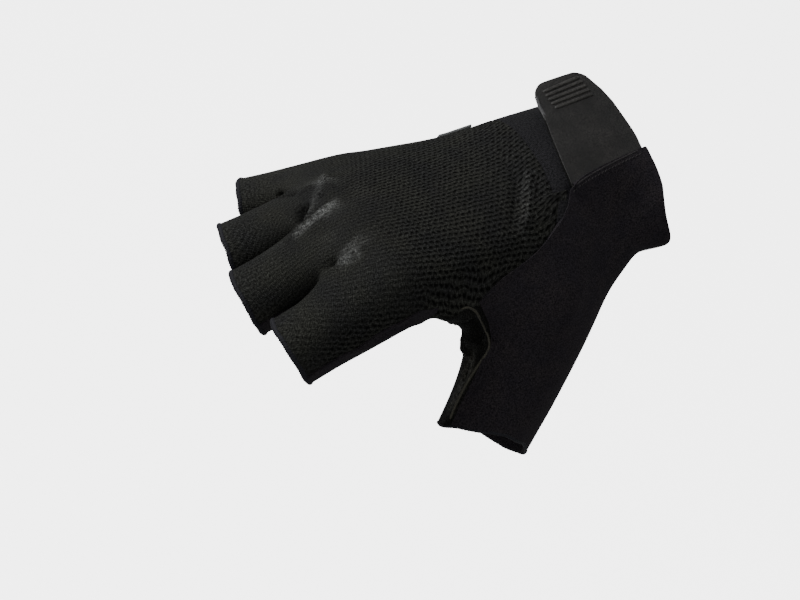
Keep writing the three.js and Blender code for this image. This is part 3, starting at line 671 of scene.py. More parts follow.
class Clay:
    """A piece while it is sculpted: strokes add up in shift, and set() moves the points."""

    def __init__(self, piece):
        self.piece = piece
        self.base = coords(piece)
        self.normals = point_normals(piece)
        self.shift = np.zeros_like(self.base)
        faces = [tuple(face.vertices) for face in piece.data.polygons]
        self.tree = BVHTree.FromPolygons(self.base.tolist(), faces)
        self.seen = picture_place(self.base)

    def under(self, pixel):
        """The piece's point under a pixel, or the nearest one where the pixel is just off it."""
        hit = self.tree.ray_cast(CAMERA_AT, pixel_ray(*pixel))[0]
        if hit is None:
            off = np.hypot(self.seen[:, 0] - pixel[0], self.seen[:, 1] - pixel[1])
            hit = self.base[np.argmin(off)]
        return np.array(hit)

    def walk(self, pixels):
        """Points on the piece along a line through the pixels, with each one's share of the way."""
        way = [np.array(pixels[0], float)]
        for a, b in zip(pixels, pixels[1:]):
            a, b = np.array(a, float), np.array(b, float)
            count = max(2, int(np.linalg.norm(b - a)))
            way += [a + (b - a) * i / count for i in range(1, count + 1)]
        spots = np.array([self.under(spot) for spot in way])
        return spots, np.linspace(0, 1, len(spots))

    def reach(self, spots, share, radius, taper=0.3):
        """How strongly a stroke takes hold of each point, from 0 to 1."""
        low, high = spots.min(axis=0) - 3 * radius, spots.max(axis=0) + 3 * radius
        near = np.where(((self.base > low) & (self.base < high)).all(axis=1))[0]
        gap = np.linalg.norm(self.base[near, None] - spots[None], axis=2)
        closest = gap.argmin(axis=1)
        hold = np.exp(-((gap.min(axis=1) / radius) ** 2))
        if len(spots) > 1 and taper:
            end = np.clip(np.minimum(share, 1 - share)[closest] / taper, 0, 1)
            hold *= end * (2 - end)
        middle = near[gap.min(axis=1).argmin()]
        facing = self.normals[near] @ self.normals[middle]
        hold *= np.clip((facing + 0.1) / 0.4, 0, 1)
        strength = np.zeros(len(self.base))
        strength[near] = hold
        return strength

    def stroke(self, pixels, height, radius, taper=0.3):
        """Raise the cloth along a line, or sink it where the height is below zero; both in mm."""
        push = self.reach(*self.walk(pixels), radius * MM, taper) * height * MM
        self.shift += self.normals * push[:, None]

    def drag(self, start, end, radius):
        """Pull the cloth at one pixel towards another, within a radius in mm."""
        spot = self.under(start)
        hold = self.reach(spot[None], np.ones(1), radius * MM)
        self.shift += hold[:, None] * in_space(np.subtract(end, start), picture_place([spot])[0, 2])

    def set(self):
        put(self.piece, self.base + self.shift)
        return round(float(np.linalg.norm(self.shift, axis=1).max()) / MM, 1)


clay = Clay(skin)
print("mm per pixel:", round(clay.seen[:, 2].mean() / FOCAL_PIXELS / MM, 3))

# %% [markdown]
# The strongest folds lie between the knuckles, over the ring and the middle finger, and a few faint
# ones cross the back. The flares open the cuff and the sleeve of the thumb a little.

# %% Folds in the knit and flare of the cuff
FOLD_STRENGTH = 1.5
FOLDS = (  # pixels of the photograph, height in mm, radius in mm
    (((337, 200), (332, 205), (321, 215), (307, 225), (295, 235), (287, 241)), 1.3, 1.0),
    (((340, 203), (331, 212), (318, 223), (303, 235)), 0.5, 2.2),
    (((313, 198), (313, 207), (308, 217), (300, 227)), 0.9, 0.8),
    (((304, 204), (301, 217), (297, 229)), -3.2, 1.7),
    (((322, 206), (314, 217), (304, 226)), -0.9, 0.8),
    (((320, 195),), -1.0, 1.3),
    (((313, 180), (325, 176), (331, 189), (334, 200)), 0.55, 1.3),
    (((326, 178),), 0.7, 2.6),
    (((298, 196), (305, 190), (314, 184)), 0.5, 1.0),
    (((276, 196), (288, 194.5), (297, 193)), -1.8, 1.1),
    (((287, 186), (289, 193), (287, 199)), 0.4, 0.6),
    (((336, 266), (345, 258), (352, 254), (362, 250)), 0.9, 1.1),
    (((322, 268), (330, 263), (337, 258)), -1.6, 1.1),
    (((342, 266), (352, 261), (362, 258)), -0.5, 0.9),
    (((337, 272), (341, 262)), 0.5, 0.7),
    (((525, 168), (527, 185), (527.5, 200), (526, 216), (523, 236)), 0.75, 1.2),
    (((515, 172), (517, 190), (516, 210), (513, 230)), -0.7, 1.6),
    (((537, 180), (540, 200), (538, 220)), -0.35, 1.1),
    (((505, 128), (515, 140), (524, 156)), 0.35, 1.6),
    (((440, 150), (455, 175), (462, 205)), 0.25, 5.0),
    (((410, 300), (430, 302), (450, 300)), -0.5, 3.0),
    (((345, 352), (365, 347), (385, 340)), 0.45, 1.4),
    (((395, 333), (405, 327), (414, 322)), 0.5, 1.2),
    (((372, 340), (388, 332), (400, 326)), -0.4, 1.0),
)
GUSSET_FOLDS = (
    (((466, 322), (476, 330), (478, 344)), -4.0, 4.6),
    (((454, 336), (460, 346), (466, 352), (474, 360)), 1.3, 1.0),
    (((466, 360), (468, 368), (466, 380)), -1.6, 1.8),
    (((458, 392), (450, 408)), 0.4, 1.6),
)
for folds, strength, taper in ((FOLDS, FOLD_STRENGTH, 0.3), (GUSSET_FOLDS, 1.0, 0.15)):
    for pixels, height, radius in folds:
        clay.stroke(pixels, height * strength, radius, taper)

FLARES = (
    ((655, 236), (665, 241), 7.0),
    ((624, 258), (630, 260), 9.0),
    ((429, 312), (427, 320), 5.0),
    ((446, 316), (448, 321), 4.0),
    ((460, 325), (455, 328), 3.5),
)
for start, end, radius in FLARES:
    clay.drag(start, end, radius)
print("strokes:", len(FOLDS) + len(GUSSET_FOLDS), "longest move:", clay.set(), "mm")

# %% [markdown]
# ## Moves that the cloth follows
# Some edges of the real glove lie a little off the solid's. Such an edge is moved point by point,
# and each point of the cloth near it takes the mean move of the edge points next to it, less and
# less with the distance.

# %% Helpers that move an edge
def way_of(points):
    """The length of the way to each point of a line."""
    return np.concatenate([[0], np.cumsum(np.linalg.norm(np.diff(points, axis=0), axis=1))])


def along(line, at):
    """The point of a pixel line at a share of its length, or at each of many shares."""
    line = np.asarray(line, float)
    way = way_of(line)
    return np.array([np.interp(np.asarray(at) * way[-1], way, line[:, axis]) for axis in (0, 1)]).T


def nearest_share(line, pixel):
    """Share of a pixel line's length that is nearest to a pixel, and how far off the pixel is."""
    shares = np.linspace(0, 1, 121)
    off = np.linalg.norm(along(line, shares) - np.asarray(pixel), axis=1)
    return shares[off.argmin()], off.min()


def spread(clay, moved, moves, radius):
    """Move points of a piece, and let those within a radius in mm follow."""
    tree = nearest_in(clay.base[moved])
    moves = np.array(moves)
    for index, place in enumerate(clay.base):
        if tree.find(place)[2] > radius * MM:
            continue
        found = tree.find_n(place, 5)
        weights = np.array([1 / (item[2] + 0.2 * MM) ** 2 for item in found])
        mean = (moves[[item[1] for item in found]] * weights[:, None]).sum(axis=0) / weights.sum()
        fade = 1 - found[0][2] / (radius * MM)
        clay.shift[index] += mean * fade * fade * (3 - 2 * fade)


def cast(pixel, trees):
    """Where a pixel's ray first meets one of some trees, with the direction outward there."""
    hits = [tree.ray_cast(CAMERA_AT, pixel_ray(*pixel)) for tree in trees]
    hits = [hit for hit in hits if hit[0] is not None]
    return min(hits, key=lambda hit: hit[3])[:2] if hits else None


print("a point half along the first fold's line:", along(FOLDS[0][0], 0.5).round(1))

# %% [markdown]
# ## Sleeve ends
# The solid sleeves end in a bound hem, and the cloth of this skin stops where that hem starts. So
# the last few millimetres of each sleeve are stretched to reach under the binding.

# %% Lengthen the sleeves
HEM_REACH = 1.5 * MM
HEM_FOLLOW = 7 * MM
WRIST_FROM = -20 * MM  # an opening further back than this is the wrist's
THUMB_BELOW = (-30 * MM, -25 * MM)  # the thumb's opening lies beyond these in Y and Z


def open_loops(piece):
    """The open borders of a mesh, each as an ordered list of points."""
    following = {}
    for key, faces in finishes_beside(piece).items():
        if len(faces) == 1:
            for one, other in (key, key[::-1]):
                following.setdefault(one, []).append(other)
    loops, used = [], set()
    for start in sorted(following):
        if start in used:
            continue
        loop, here = [], start
        while here is not None:
            loop.append(here)
            used.add(here)
            here = next((other for other in following[here] if other not in used), None)
        loops.append(loop)
    return loops


rims = sorted(open_loops(skin), key=lambda loop: coords(skin)[loop][:, 0].mean())
rim_names = {}
inner_neighbour = {}
rim_points = {index for loop in rims for index in loop}
for one, other in edge_table(skin).tolist():
    if (one in rim_points) != (other in rim_points):
        inner_neighbour[one if one in rim_points else other] = other if one in rim_points else one
THUMB_OLD = ((441, 421), (460, 427), (482, 433), (500, 440), (512, 444), (529, 449))
THUMB_NEW = ((441, 422), (460, 424), (478, 427), (493, 429), (508, 434), (526, 444))
THUMB_TURN = 0.8
THUMB_FAR_DROP = 8  # pixels by which the far side of the thumb's opening hangs lower
FAR_SIDE = (480, 30)  # pixel column where the far side of that opening starts, and its fade
FAR_LEFT = -2.0  # pixels by which it lies further left
thumb_loop = min(rims, key=lambda loop: (clay.base + clay.shift)[loop][:, 2].mean())
moves = []
for index in thumb_loop:
    pixel, depth = clay.seen[index, :2], clay.seen[index, 2]
    at = nearest_share(THUMB_OLD, pixel)[0]
    front = np.clip(clay.normals[index] @ np.array(CAMERA_BACK) / THUMB_TURN + 0.5, 0, 1)
    off = (along(THUMB_NEW, at) - along(THUMB_OLD, at)) * front
    far = (1 - front) * np.clip((pixel[0] - FAR_SIDE[0]) / FAR_SIDE[1], 0, 1)
    moves.append(in_space(off + np.array([FAR_LEFT, THUMB_FAR_DROP]) * far, depth))
spread(clay, thumb_loop, moves, 14)
print("thumb rim moved by up to", round(np.linalg.norm(moves, axis=1).max() / MM, 1), "mm")
grown = clay.base + clay.shift
rim_ways = {}
for loop in rims:
    middle = grown[loop].mean(axis=0)
    if middle[0] > WRIST_FROM:
        name = "wrist"
    elif middle[1] < THUMB_BELOW[0] and middle[2] < THUMB_BELOW[1]:
        name = "thumb"
    else:
        name = "finger%d" % len([n for n in rim_names if n.startswith("finger")])
    rim_names[name] = loop
    way = grown[loop] - grown[[inner_neighbour[index] for index in loop]]
    rim_ways[name] = way / np.linalg.norm(way, axis=1)[:, None]
    print(name, len(loop), "points, middle", (middle / MM).round(1))
for name, loop in rim_names.items():
    if name == "wrist":
        continue
    tree = nearest_in(grown[loop])
    for index, place in enumerate(grown):
        row, gap = tree.find(place)[1:]
        if gap < HEM_FOLLOW:
            clay.shift[index] += rim_ways[name][row] * HEM_REACH * (1 - gap / HEM_FOLLOW) ** 2
clay.set()
grown = clay.base + clay.shift
skin_normals = point_normals(skin)
rim_lines = {name: (grown[loop], skin_normals[loop], rim_ways[name]) for name, loop in rim_names.items()}

# %% [markdown]
# ## Separate panels
# The sculpted skin is cut apart again along the seams, one object for each cloth. At a seam the
# suede lies on top with a turned edge, and the knit lies over the cuff.

# %% Cut the skin apart
skin_faces = [tuple(face.vertices) for face in skin.data.polygons]
with editing(skin) as steps:
    steps.separate(type="MATERIAL")
CLOTHS = {  # piece: its finish and the thickness of its cloth
    "knit_back": (KNIT, WALL["knit"]),
    "suede_palm": (SUEDE, WALL["suede"]),
    "stretch_cuff": (STRETCH, WALL["stretch"]),
    "knit_gusset": (GUSSET_KNIT, WALL["knit"]),
}
name_by_finish = {finish.name: name for name, (finish, wall) in CLOTHS.items()}
cloth = {}
for piece in list(bpy.context.selected_objects):
    finish = piece.data.materials[piece.data.polygons[0].material_index]
    piece.name = piece.data.name = name_by_finish[finish.name]
    piece.data.materials.clear()
    piece.data.materials.append(finish)
    piece.data.polygons.foreach_set("material_index", [0] * len(piece.data.polygons))
    cloth[piece.name] = piece
print("cloths:", sorted(cloth))

# %% [markdown]
# ## Edges that lap over
# On the real glove the suede is sewn over the root of the tab and over the gusset, and the knit
# over the cuff, so their edges lie a few millimetres further than the seams of the solid panels.
# Each edge is led from its old line in the picture to the new one, dropped on whatever carries it
# there, and lifted a little; the cloth behind it follows with a smooth falloff.

# %% Lead edges over their neighbours
SMALL = 1e-5
AWAY = -0.2  # an edge point that faces further away from the camera stays where it is


def shared_edge(piece, other):
    """Which points of a piece lie on its seam with another one."""
    tree = nearest_in(coords(other))
    return np.array([tree.find(place)[2] < SMALL for place in coords(piece)])


def tree_of(piece):
    faces = [tuple(face.vertices) for face in piece.data.polygons]
    return BVHTree.FromPolygons(coords(piece).tolist(), faces)


def lead(clay, edge, old, new, carriers, lift, radius, slack=7):
    """Move an edge from one pixel line to another, over carriers, and let the cloth follow."""
    moved, moves = [], []
    for index in np.where(edge)[0]:
        at, off = nearest_share(old, clay.seen[index, :2])
        if off > slack or clay.normals[index] @ np.array(CAMERA_BACK) < AWAY:
            continue
        met = cast(along(new, at), carriers)
        if met:
            moved.append(index)
            moves.append(np.array(met[0]) + np.array(met[1]) * lift * MM - clay.base[index])
    spread(clay, moved, moves, radius)
    return len(moved)


skin_tree = BVHTree.FromPolygons((clay.base + clay.shift).tolist(), skin_faces)
print("skin as a carrier:", len(skin_faces), "faces")

# %% [markdown]
# ## The closure tab
# The tab is a moulded sheet that wraps the back of the wrist. The side of the solid tab that faces
# the cuff is a plain grid without ribs, so it is the start: its root is drawn out under the suede,
# the outline is led to the picture's, and the free corners are rounded. Solidify gives it a wall
# that thins towards the root, and a bevel softens every edge.

# %% Sheet of the tab
FACING = -0.6  # faces whose direction from the hand is more than this are dropped


def facing_cuff(node):
    """A copy of a strip's side that faces the cuff, as quads."""
    piece = node_copy(node, "sheet_" + node)
    drop_faces(piece, lambda face: face.normal.dot(skin_tree.find_nearest(face.center)[1]) > FACING)
    with editing(piece) as steps:
        steps.tris_convert_to_quads(face_threshold=1.0, shape_threshold=3.1)
        steps.flip_normals()
    return piece


def open_points(piece):
    """Points on the open border of a sheet."""
    beside = finishes_beside(piece)
    return sorted({index for key, faces in beside.items() if len(faces) == 1 for index in key})


def grid_rows(sheet, start, end):
    """The sheet's points row by row, from the border row between two pixels onwards."""
    neighbours = {index: set() for index in range(len(sheet.data.vertices))}
    for a, b in edge_table(sheet).tolist():
        neighbours[a].add(b)
        neighbours[b].add(a)
    place = coords(sheet)
    seen = picture_place(place)
    rim = set(open_points(sheet))
    first, last = [min(rim, key=lambda v: math.dist(seen[v, :2], pixel)) for pixel in (start, end)]
    came_from, waiting = {first: None}, [first]
    while waiting:  # shortest way along the border
        here = waiting.pop(0)
        for other in sorted(neighbours[here] & rim):
            if other not in came_from:
                came_from[other] = here
                waiting.append(other)
    row = [last]
    while came_from[row[-1]] is not None:
        row.append(came_from[row[-1]])
    row = row[::-1]
    rows, used = [row], set(row)
    while True:
        ahead = {other for index in rows[-1] for other in neighbours[index]} - used
        if len(ahead) != len(row):
            break
        across = place[rows[-1][-1]] - place[rows[-1][0]]
        rows.append(sorted(ahead, key=lambda v: place[v] @ across))
        used |= ahead
    return place[np.array(rows)]


def resample(rows, count):
    """A smooth curve through the rows, at equal steps of the middle column's length."""
    middle = rows[:, rows.shape[1] // 2]
    way = way_of(middle)
    slopes = np.gradient(rows, way, axis=0)
    made = []
    for at in np.linspace(0, way[-1], count):
        k = min(int(np.searchsorted(way, at, side="right")) - 1, len(way) - 2)
        span = way[k + 1] - way[k]
        t = (at - way[k]) / span
        start = (1 + 2 * t) * (1 - t) ** 2 * rows[k] + t * (1 - t) ** 2 * span * slopes[k]
        end = t * t * (3 - 2 * t) * rows[k + 1] - t * t * (1 - t) * span * slopes[k + 1]
        made.append(start + end)
    return np.array(made)


def regrid(rows, size):
    """The rows as a grid of even steps, with this many rows and columns."""
    even_columns = resample(np.swapaxes(rows, 0, 1), size[1])
    return resample(np.swapaxes(even_columns, 0, 1), size[0])


def grid_normals(grid, outward):
    """A normal for each point of a grid, on the side that outward points to."""
    along_rows, across_rows = np.gradient(grid, axis=0), np.gradient(grid, axis=1)
    made = np.cross(along_rows, across_rows)
    made /= np.linalg.norm(made, axis=2, keepdims=True)
    return made if (made.mean(axis=(0, 1)) @ outward) > 0 else -made


def grid_piece(name, grid):
    """A grid primitive, led to the places of the grid."""
    rows, columns = grid.shape[:2]
    bpy.ops.object.select_all(action="DESELECT")
    bpy.ops.mesh.primitive_grid_add(x_subdivisions=columns - 1, y_subdivisions=rows - 1, size=1)
    piece = bpy.context.object
    piece.name = piece.data.name = name
    put(piece, grid.reshape(-1, 3))
    return piece


def walled(piece, outward, wall, edge, segments, group=""):
    """Give a sheet a wall on its outer side, and soften the edges."""
    if piece.data.polygons[0].normal.dot(Vector(outward)) < 0:
        with editing(piece) as steps:
            steps.flip_normals()
    shape_by(piece, "SOLIDIFY", thickness=wall, offset=1, vertex_group=group)
    sharp = math.radians(50)
    shape_by(piece, "BEVEL", width=edge, segments=segments, limit_method="ANGLE", angle_limit=sharp)
    smooth(piece, 50)


TAB_CORNERS = ((566, 185), (639, 146))  # pixels of the solid tab's root
tab_sheet = facing_cuff("closure_tab")
tab_rows = grid_rows(tab_sheet, *TAB_CORNERS)
print("tab grid:", tab_rows.shape[:2])

# %% [markdown]
# The two long sides of the tab are led to their lines in the picture, and the grid between them
# follows. Then the root gets a few more rows, which run down onto the cloth.

# %% Lead the tab's outline to the picture's
TAB_LEFT = (
    (573, 184), (571, 179), (563, 163), (554, 142), (545, 118), (538, 102), (534.5, 92), (534, 84.5)
)
TAB_RIGHT = (
    (643.5, 147), (637, 135), (626, 119), (613, 100.5), (602, 88.5), (593, 81), (584, 73), (578, 68.5)
)
TAB_WALL = 2.0 * MM
TAB_ROOT = 3.6 * MM  # how far the root runs on under the suede
ROOT_NARROWS = 0.2
ROOT_LIES = 0.3 * MM  # height of the root's end over the skin
TAB_GRID = (73, 45)
tab_grid = regrid(tab_rows, TAB_GRID)
tab_outward = np.array(skin_tree.find_nearest(Vector(tab_grid[20, 22]))[1])
tab_top = tab_grid + grid_normals(tab_grid, tab_outward) * TAB_WALL
tab_top_seen = picture_place(tab_top.reshape(-1, 3)).reshape(*TAB_GRID, 3)
leads = []
for column, line in ((0, TAB_LEFT), (-1, TAB_RIGHT)):
    way = way_of(tab_grid[:, column])
    off = along(line, way / way[-1]) - tab_top_seen[:, column, :2]
    leads.append(in_space(off, tab_top_seen[:, column, 2:]))
    print("tab side led by up to", round(np.linalg.norm(off, axis=1).max(), 1), "pixels")
u = np.linspace(0, 1, TAB_GRID[1])[None, :, None]
tab_grid = tab_grid + leads[0][:, None] * (1 - u) + leads[1][:, None] * u

spacing = np.linalg.norm(tab_grid[1] - tab_grid[0], axis=1).mean()
root_way = (tab_grid[0] - tab_grid[3]) / np.linalg.norm(tab_grid[0] - tab_grid[3], axis=1)[:, None]
count = int(TAB_ROOT / spacing) + 1
roots = []
for k in range(count, 0, -1):
    row = tab_grid[0] + root_way * spacing * k
    row = row.mean(axis=0) + (row - row.mean(axis=0)) * (1 - ROOT_NARROWS * k / count)
    for place in row:  # the root lies down on the skin
        spot, outward = skin_tree.find_nearest(Vector(place))[:2]
        height = (place - np.array(spot)) @ np.array(outward)
        place += np.array(outward) * (ROOT_LIES - height) * min(1, 1.3 * k / count)
    roots.append(row)
tab_grid = np.concatenate([np.array(roots), tab_grid])
print("tab grid with root:", tab_grid.shape[:2])

# %% [markdown]
# A square patch of the grid becomes a quarter of a disc at each free corner: every point moves in
# by as much as the patch's side is nearer than its corner.

# %% Round its free corners and give it a wall
TAB_CORNER = 3.0 * MM
TAB_EDGE = 0.45 * MM
ROOT_THIN = 0.4  # share of the wall that is left at the root
width = np.linalg.norm(tab_grid[-1, -1] - tab_grid[-1, 0])
inset = int(round(TAB_CORNER / width * (TAB_GRID[1] - 1)))
depth_rows = int(round(TAB_CORNER / spacing))
for side in (0, -1):
    flat = tab_grid.copy()
    for i in range(depth_rows + 1):
        for j in range(inset + 1):
            a, b = 1 - i / depth_rows, 1 - j / inset
            pull = max(a, b) / math.hypot(a, b) if max(a, b) > 0 else 1
            row, column = (1 - a * pull) * depth_rows, (1 - b * pull) * inset
            r0, c0 = int(row), int(column)
            r1, c1 = min(r0 + 1, depth_rows), min(c0 + 1, inset)
            fr, fc = row - r0, column - c0
            pick = lambda r, c: flat[-1 - r, c if side == 0 else -1 - c]
            mixed = (pick(r0, c0) * (1 - fc) + pick(r0, c1) * fc) * (1 - fr)
            mixed += (pick(r1, c0) * (1 - fc) + pick(r1, c1) * fc) * fr
            tab_grid[-1 - i, j if side == 0 else -1 - j] = mixed
tab = grid_piece("tab_body", tab_grid)
root_share = np.clip((np.arange(len(tab_grid)) - count * 0.5) / (len(tab_grid) * 0.25), 0, 1)
wall_share = np.repeat(ROOT_THIN + (1 - ROOT_THIN) * root_share, TAB_GRID[1])
group = tab.vertex_groups.new(name="wall")
for index, share in enumerate(wall_share):
    group.add([index], float(share), "REPLACE")
walled(tab, tab_outward, TAB_WALL, TAB_EDGE, 3, "wall")
tab.data.materials.append(RUBBER)
print("tab:", len(tab.data.polygons), "faces")
bpy.data.objects.remove(tab_sheet)

# %% [markdown]
# Now the edges move. The suede comes to lie over the root of the tab, the gusset slips under the
# suede, and the knit comes over the cuff. Small steps along the seams show which cloth is on top.

# %% Lead the suede over the tab and the knit over the cuff
tab_tree = tree_of(tab)
SUEDE_OLD = ((565, 220), (576, 204), (589, 189), (601, 179), (616, 173), (634, 158), (649, 148))
SUEDE_NEW = ((562, 219), (568, 205), (570, 188), (584, 176), (604, 165), (626, 154.5), (645, 147))
KNIT_OLD = (
    (489, 122), (495, 123), (501, 127), (513, 137), (518, 143), (531, 162), (539, 174), (546, 187),
    (552, 200), (561, 214)
)
KNIT_NEW = (
    (491, 122), (500, 122), (508, 126), (519, 136), (525, 143), (534, 156), (542, 168), (547, 181),
    (553, 193), (567, 190)
)
CUFF_OLD = ((596, 84), (603, 87.6), (624, 105), (637, 126), (649, 147))
CUFF_NEW = ((594, 86), (598, 90), (617, 108), (629, 128), (641, 148))
GUSSET_OLD = (
    (489, 294), (499, 306), (508, 317), (510, 330), (506, 345), (497, 359), (487, 383), (474, 404),
    (465, 426)
)
GUSSET_NEW = (
    (480, 303), (484, 311), (489, 322), (492, 336), (491, 348), (484, 357), (473, 381), (463, 401),
    (452, 425)
)
KNIT_GUSSET_OLD = ((428, 312), (442, 306), (455, 301), (470, 296), (486, 291))
KNIT_GUSSET_NEW = ((431, 315), (446, 316), (456, 315), (464, 309), (481, 306))


def lay_on(clay, tree, least):
    """Raise the points that have moved so that they lie no lower than this over a tree, in mm."""
    for index in np.where(np.linalg.norm(clay.shift, axis=1) > 0.1 * MM)[0]:
        place = clay.base[index] + clay.shift[index]
        spot, outward = tree.find_nearest(Vector(place))[:2]
        height = (place - np.array(spot)) @ np.array(outward)
        if height < least * MM:
            clay.shift[index] += np.array(outward) * (least * MM - height)


suede_clay, knit_clay = Clay(cloth["suede_palm"]), Clay(cloth["knit_back"])
gusset_clay, cuff_clay = Clay(cloth["knit_gusset"]), Clay(cloth["stretch_cuff"])
seam_leads = (
    (suede_clay, "knit_gusset", GUSSET_OLD, GUSSET_NEW, 0.4),
    (gusset_clay, "suede_palm", GUSSET_OLD, GUSSET_NEW, -0.3),
    (knit_clay, "knit_gusset", KNIT_GUSSET_OLD, KNIT_GUSSET_NEW, 0.3),
)
for led_clay, other, old, new, lift in seam_leads:
    seam_edge = shared_edge(led_clay.piece, cloth[other])
    print("points led by", other, lead(led_clay, seam_edge, old, new, (skin_tree,), lift, radius=9, slack=9))
lay_on(suede_clay, skin_tree, 0.15)
lay_on(knit_clay, skin_tree, 0.1)
over_cuff = shared_edge(cloth["suede_palm"], cloth["stretch_cuff"])
knit_on_cuff = shared_edge(cloth["knit_back"], cloth["stretch_cuff"])
count = lead(suede_clay, over_cuff, SUEDE_OLD, SUEDE_NEW, (skin_tree, tab_tree), 0.55, radius=12)
print("suede edge points led:", count)


def clear_of(clay, below, room, smoothing=12):
    """Raise a cloth so that it lies above another piece by at least some room, in mm."""
    start, most = 8 * MM, 14 * MM  # how far over the cloth the search starts, and its length
    now = clay.base + clay.shift
    rise = np.zeros(len(now))
    for index, place in enumerate(now):
        outward = Vector(clay.normals[index])
        hit = below.ray_cast(Vector(place) + outward * start, -outward, most)
        if hit[0] is not None:
            rise[index] = max(0.0, start - hit[3] + room * MM)
    ends = edge_table(clay.piece)
    count = np.maximum(np.bincount(ends.ravel(), minlength=len(now)), 1)
    raised = rise.copy()
    for _ in range(smoothing):
        around = np.zeros(len(now))
        np.add.at(around, ends[:, 0], raised[ends[:, 1]])
        np.add.at(around, ends[:, 1], raised[ends[:, 0]])
        raised = np.maximum(rise, around / count)
    clay.shift += clay.normals * raised[:, None]
    return round(raised.max() / MM, 2)


print("suede raised over the tab by up to", clear_of(suede_clay, tab_tree, 0.3), "mm")
STITCH_LINE = ((573, 193), (576, 189), (588, 180.5), (607, 170), (628, 159.5), (642, 153))
suede_clay.stroke(STITCH_LINE, -0.4, 0.7, 0.05)
suede_clay.stroke(SUEDE_NEW[1:], 0.35, 0.9, 0.05)
FLAP_CREASE = ((550, 197), (556, 206), (559, 216))  # the folded corner at the foot of the tab
FLAP_ROLL = ((544, 202), (550, 216))
knit_clay.stroke(FLAP_CREASE, -0.9, 1.0)
knit_clay.stroke(FLAP_ROLL, 0.5, 0.9)


def step_at(clay, other, height, width):
    """Raise or sink a cloth along its seam with another one, fading over a width; in mm."""
    tree = nearest_in(clay.base[shared_edge(clay.piece, other)])
    gap = np.array([tree.find(place)[2] for place in clay.base]) / MM
    fade = np.clip(1 - gap / width, 0, 1)
    clay.shift += clay.normals * (fade * fade * (3 - 2 * fade) * height * MM)[:, None]


step_at(suede_clay, cloth["knit_back"], 0.4, 2.6)
step_at(knit_clay, cloth["suede_palm"], -0.35, 1.6)
step_at(cuff_clay, cloth["knit_back"], -0.4, 3.0)
cuff_rim = np.zeros(len(cuff_clay.base), bool)
cuff_rim[open_points(cloth["stretch_cuff"])] = True
count = lead(cuff_clay, cuff_rim, CUFF_OLD, CUFF_NEW, (skin_tree,), 0.0, radius=9, slack=5)
print("cuff rim points led:", count)
count = lead(knit_clay, knit_on_cuff, KNIT_OLD, KNIT_NEW, (skin_tree,), 0.5, radius=8)
print("knit edge points led:", count)
moves = [one.set() for one in (suede_clay, knit_clay, cuff_clay)]
print("suede, knit and cuff moved by up to", moves, "mm")

# %% [markdown]
# ## Where the knit opens, and where highlights are painted
# The holes are widest over the middle of the back and nearly close over the fingers and towards the
# little finger. Where the knit is pulled taut over a knuckle or a ridge it catches the light, and
# that highlight is painted into its colour. Both are painted on the points as attributes, which the
# knit finish reads. On the gusset one strip in the web of the thumb is painted lighter: a lighter
# strip of cloth, and painted light as well.

# %% Paint the knit
# painted highlights: strokes that make the knit's colour lighter where light catches the taut knit
KNIT_HIGHLIGHTS = (  # pixels, strength, radius in mm
    (((340, 197), (321, 212.5), (307, 224.5), (291, 239)), 0.64, 1.3),
    (((336, 201), (318, 216)), 0.28, 3.4),
    (((322, 172), (319, 188), (313, 204), (303, 222)), 0.22, 1.2),
    (((326, 174), (316, 186)), 0.28, 4.8),
    (((337, 265), (349, 257.5), (362, 251)), 0.52, 1.5),
    (((345, 245), (356, 252)), 0.28, 4.8),
    (((325, 232), (335, 246)), 0.05, 4.0),
    (((526, 172), (527.5, 190), (527, 208), (525, 226)), 0.16, 1.8),
    (((521, 240), (527, 228)), 0.06, 2.6),
    (((350, 152), (395, 140)), 0.03, 4.0),
    (((350, 195), (375, 190)), 0.03, 6.0),
    (((287, 241), (273, 248), (260, 256)), 0.06, 1.4),
)
INDEX_HOLES = ((318, 366), (350, 352), (385, 335), (414, 316))
INDEX_WIDTH = 7.5 * MM
BACK_FROM_TO = (-104, -80)  # mm along the hand, from the fingers to the open back
SIDE_FROM_TO = (-44, -14)  # mm across it, from the little finger to the middle
knit_back = cloth["knit_back"]


def paint(piece, name, values):
    """Keep a value for each point of a piece as an attribute."""
    piece.data.attributes.new(name, "FLOAT", "POINT").data.foreach_set("value", values.astype(np.float32))
    print(piece.name, name, "mean", round(float(values.mean()), 2), "most", round(float(values.max()), 2))


def smooth_share(values, low, high):
    share = np.clip((values - low) / (high - low), 0, 1)
    return share * share * (3 - 2 * share)


x_mm, y_mm = knit_clay.base[:, 0] / MM, knit_clay.base[:, 1] / MM
over_back = smooth_share(x_mm, *BACK_FROM_TO)
towards_index = smooth_share(-y_mm, *SIDE_FROM_TO)
open_share = (0.25 + 0.75 * over_back) * (0.3 + 0.7 * towards_index)
index_share = knit_clay.reach(*knit_clay.walk(INDEX_HOLES), INDEX_WIDTH)
open_share = np.maximum(open_share, index_share)
highlight_share = np.zeros(len(knit_clay.base))
for pixels, strength, radius in KNIT_HIGHLIGHTS:
    highlight_share += strength * knit_clay.reach(*knit_clay.walk(pixels), radius * MM)
paint(knit_back, "open", open_share)
paint(knit_back, "strip_and_highlight", np.clip(highlight_share, 0, 1))

# a lighter strip of olive cloth in the web of the thumb, lifted further as painted light over the gusset's
# painted shade
STRIP = ((484, 352), (472, 372), (460, 394), (450, 414))
STRIP_WIDTH = 3.2 * MM
gusset_clay.set()
strip_share = 1.4 * gusset_clay.reach(*gusset_clay.walk(STRIP), STRIP_WIDTH)
paint(cloth["knit_gusset"], "strip_and_highlight", np.clip(strip_share, 0, 1))

# %% [markdown]
# ## Wall of the cloth
# Solidify gives each panel the thickness of its cloth, towards the hand. The seams then show a real
# edge where one cloth lies over the other.

# %% Thicken the cloth
for name, (finish, wall) in CLOTHS.items():
    shape_by(cloth[name], "SOLIDIFY", thickness=wall, offset=-1)
    smooth(cloth[name], 60)
    print(name, len(cloth[name].data.polygons), "faces")

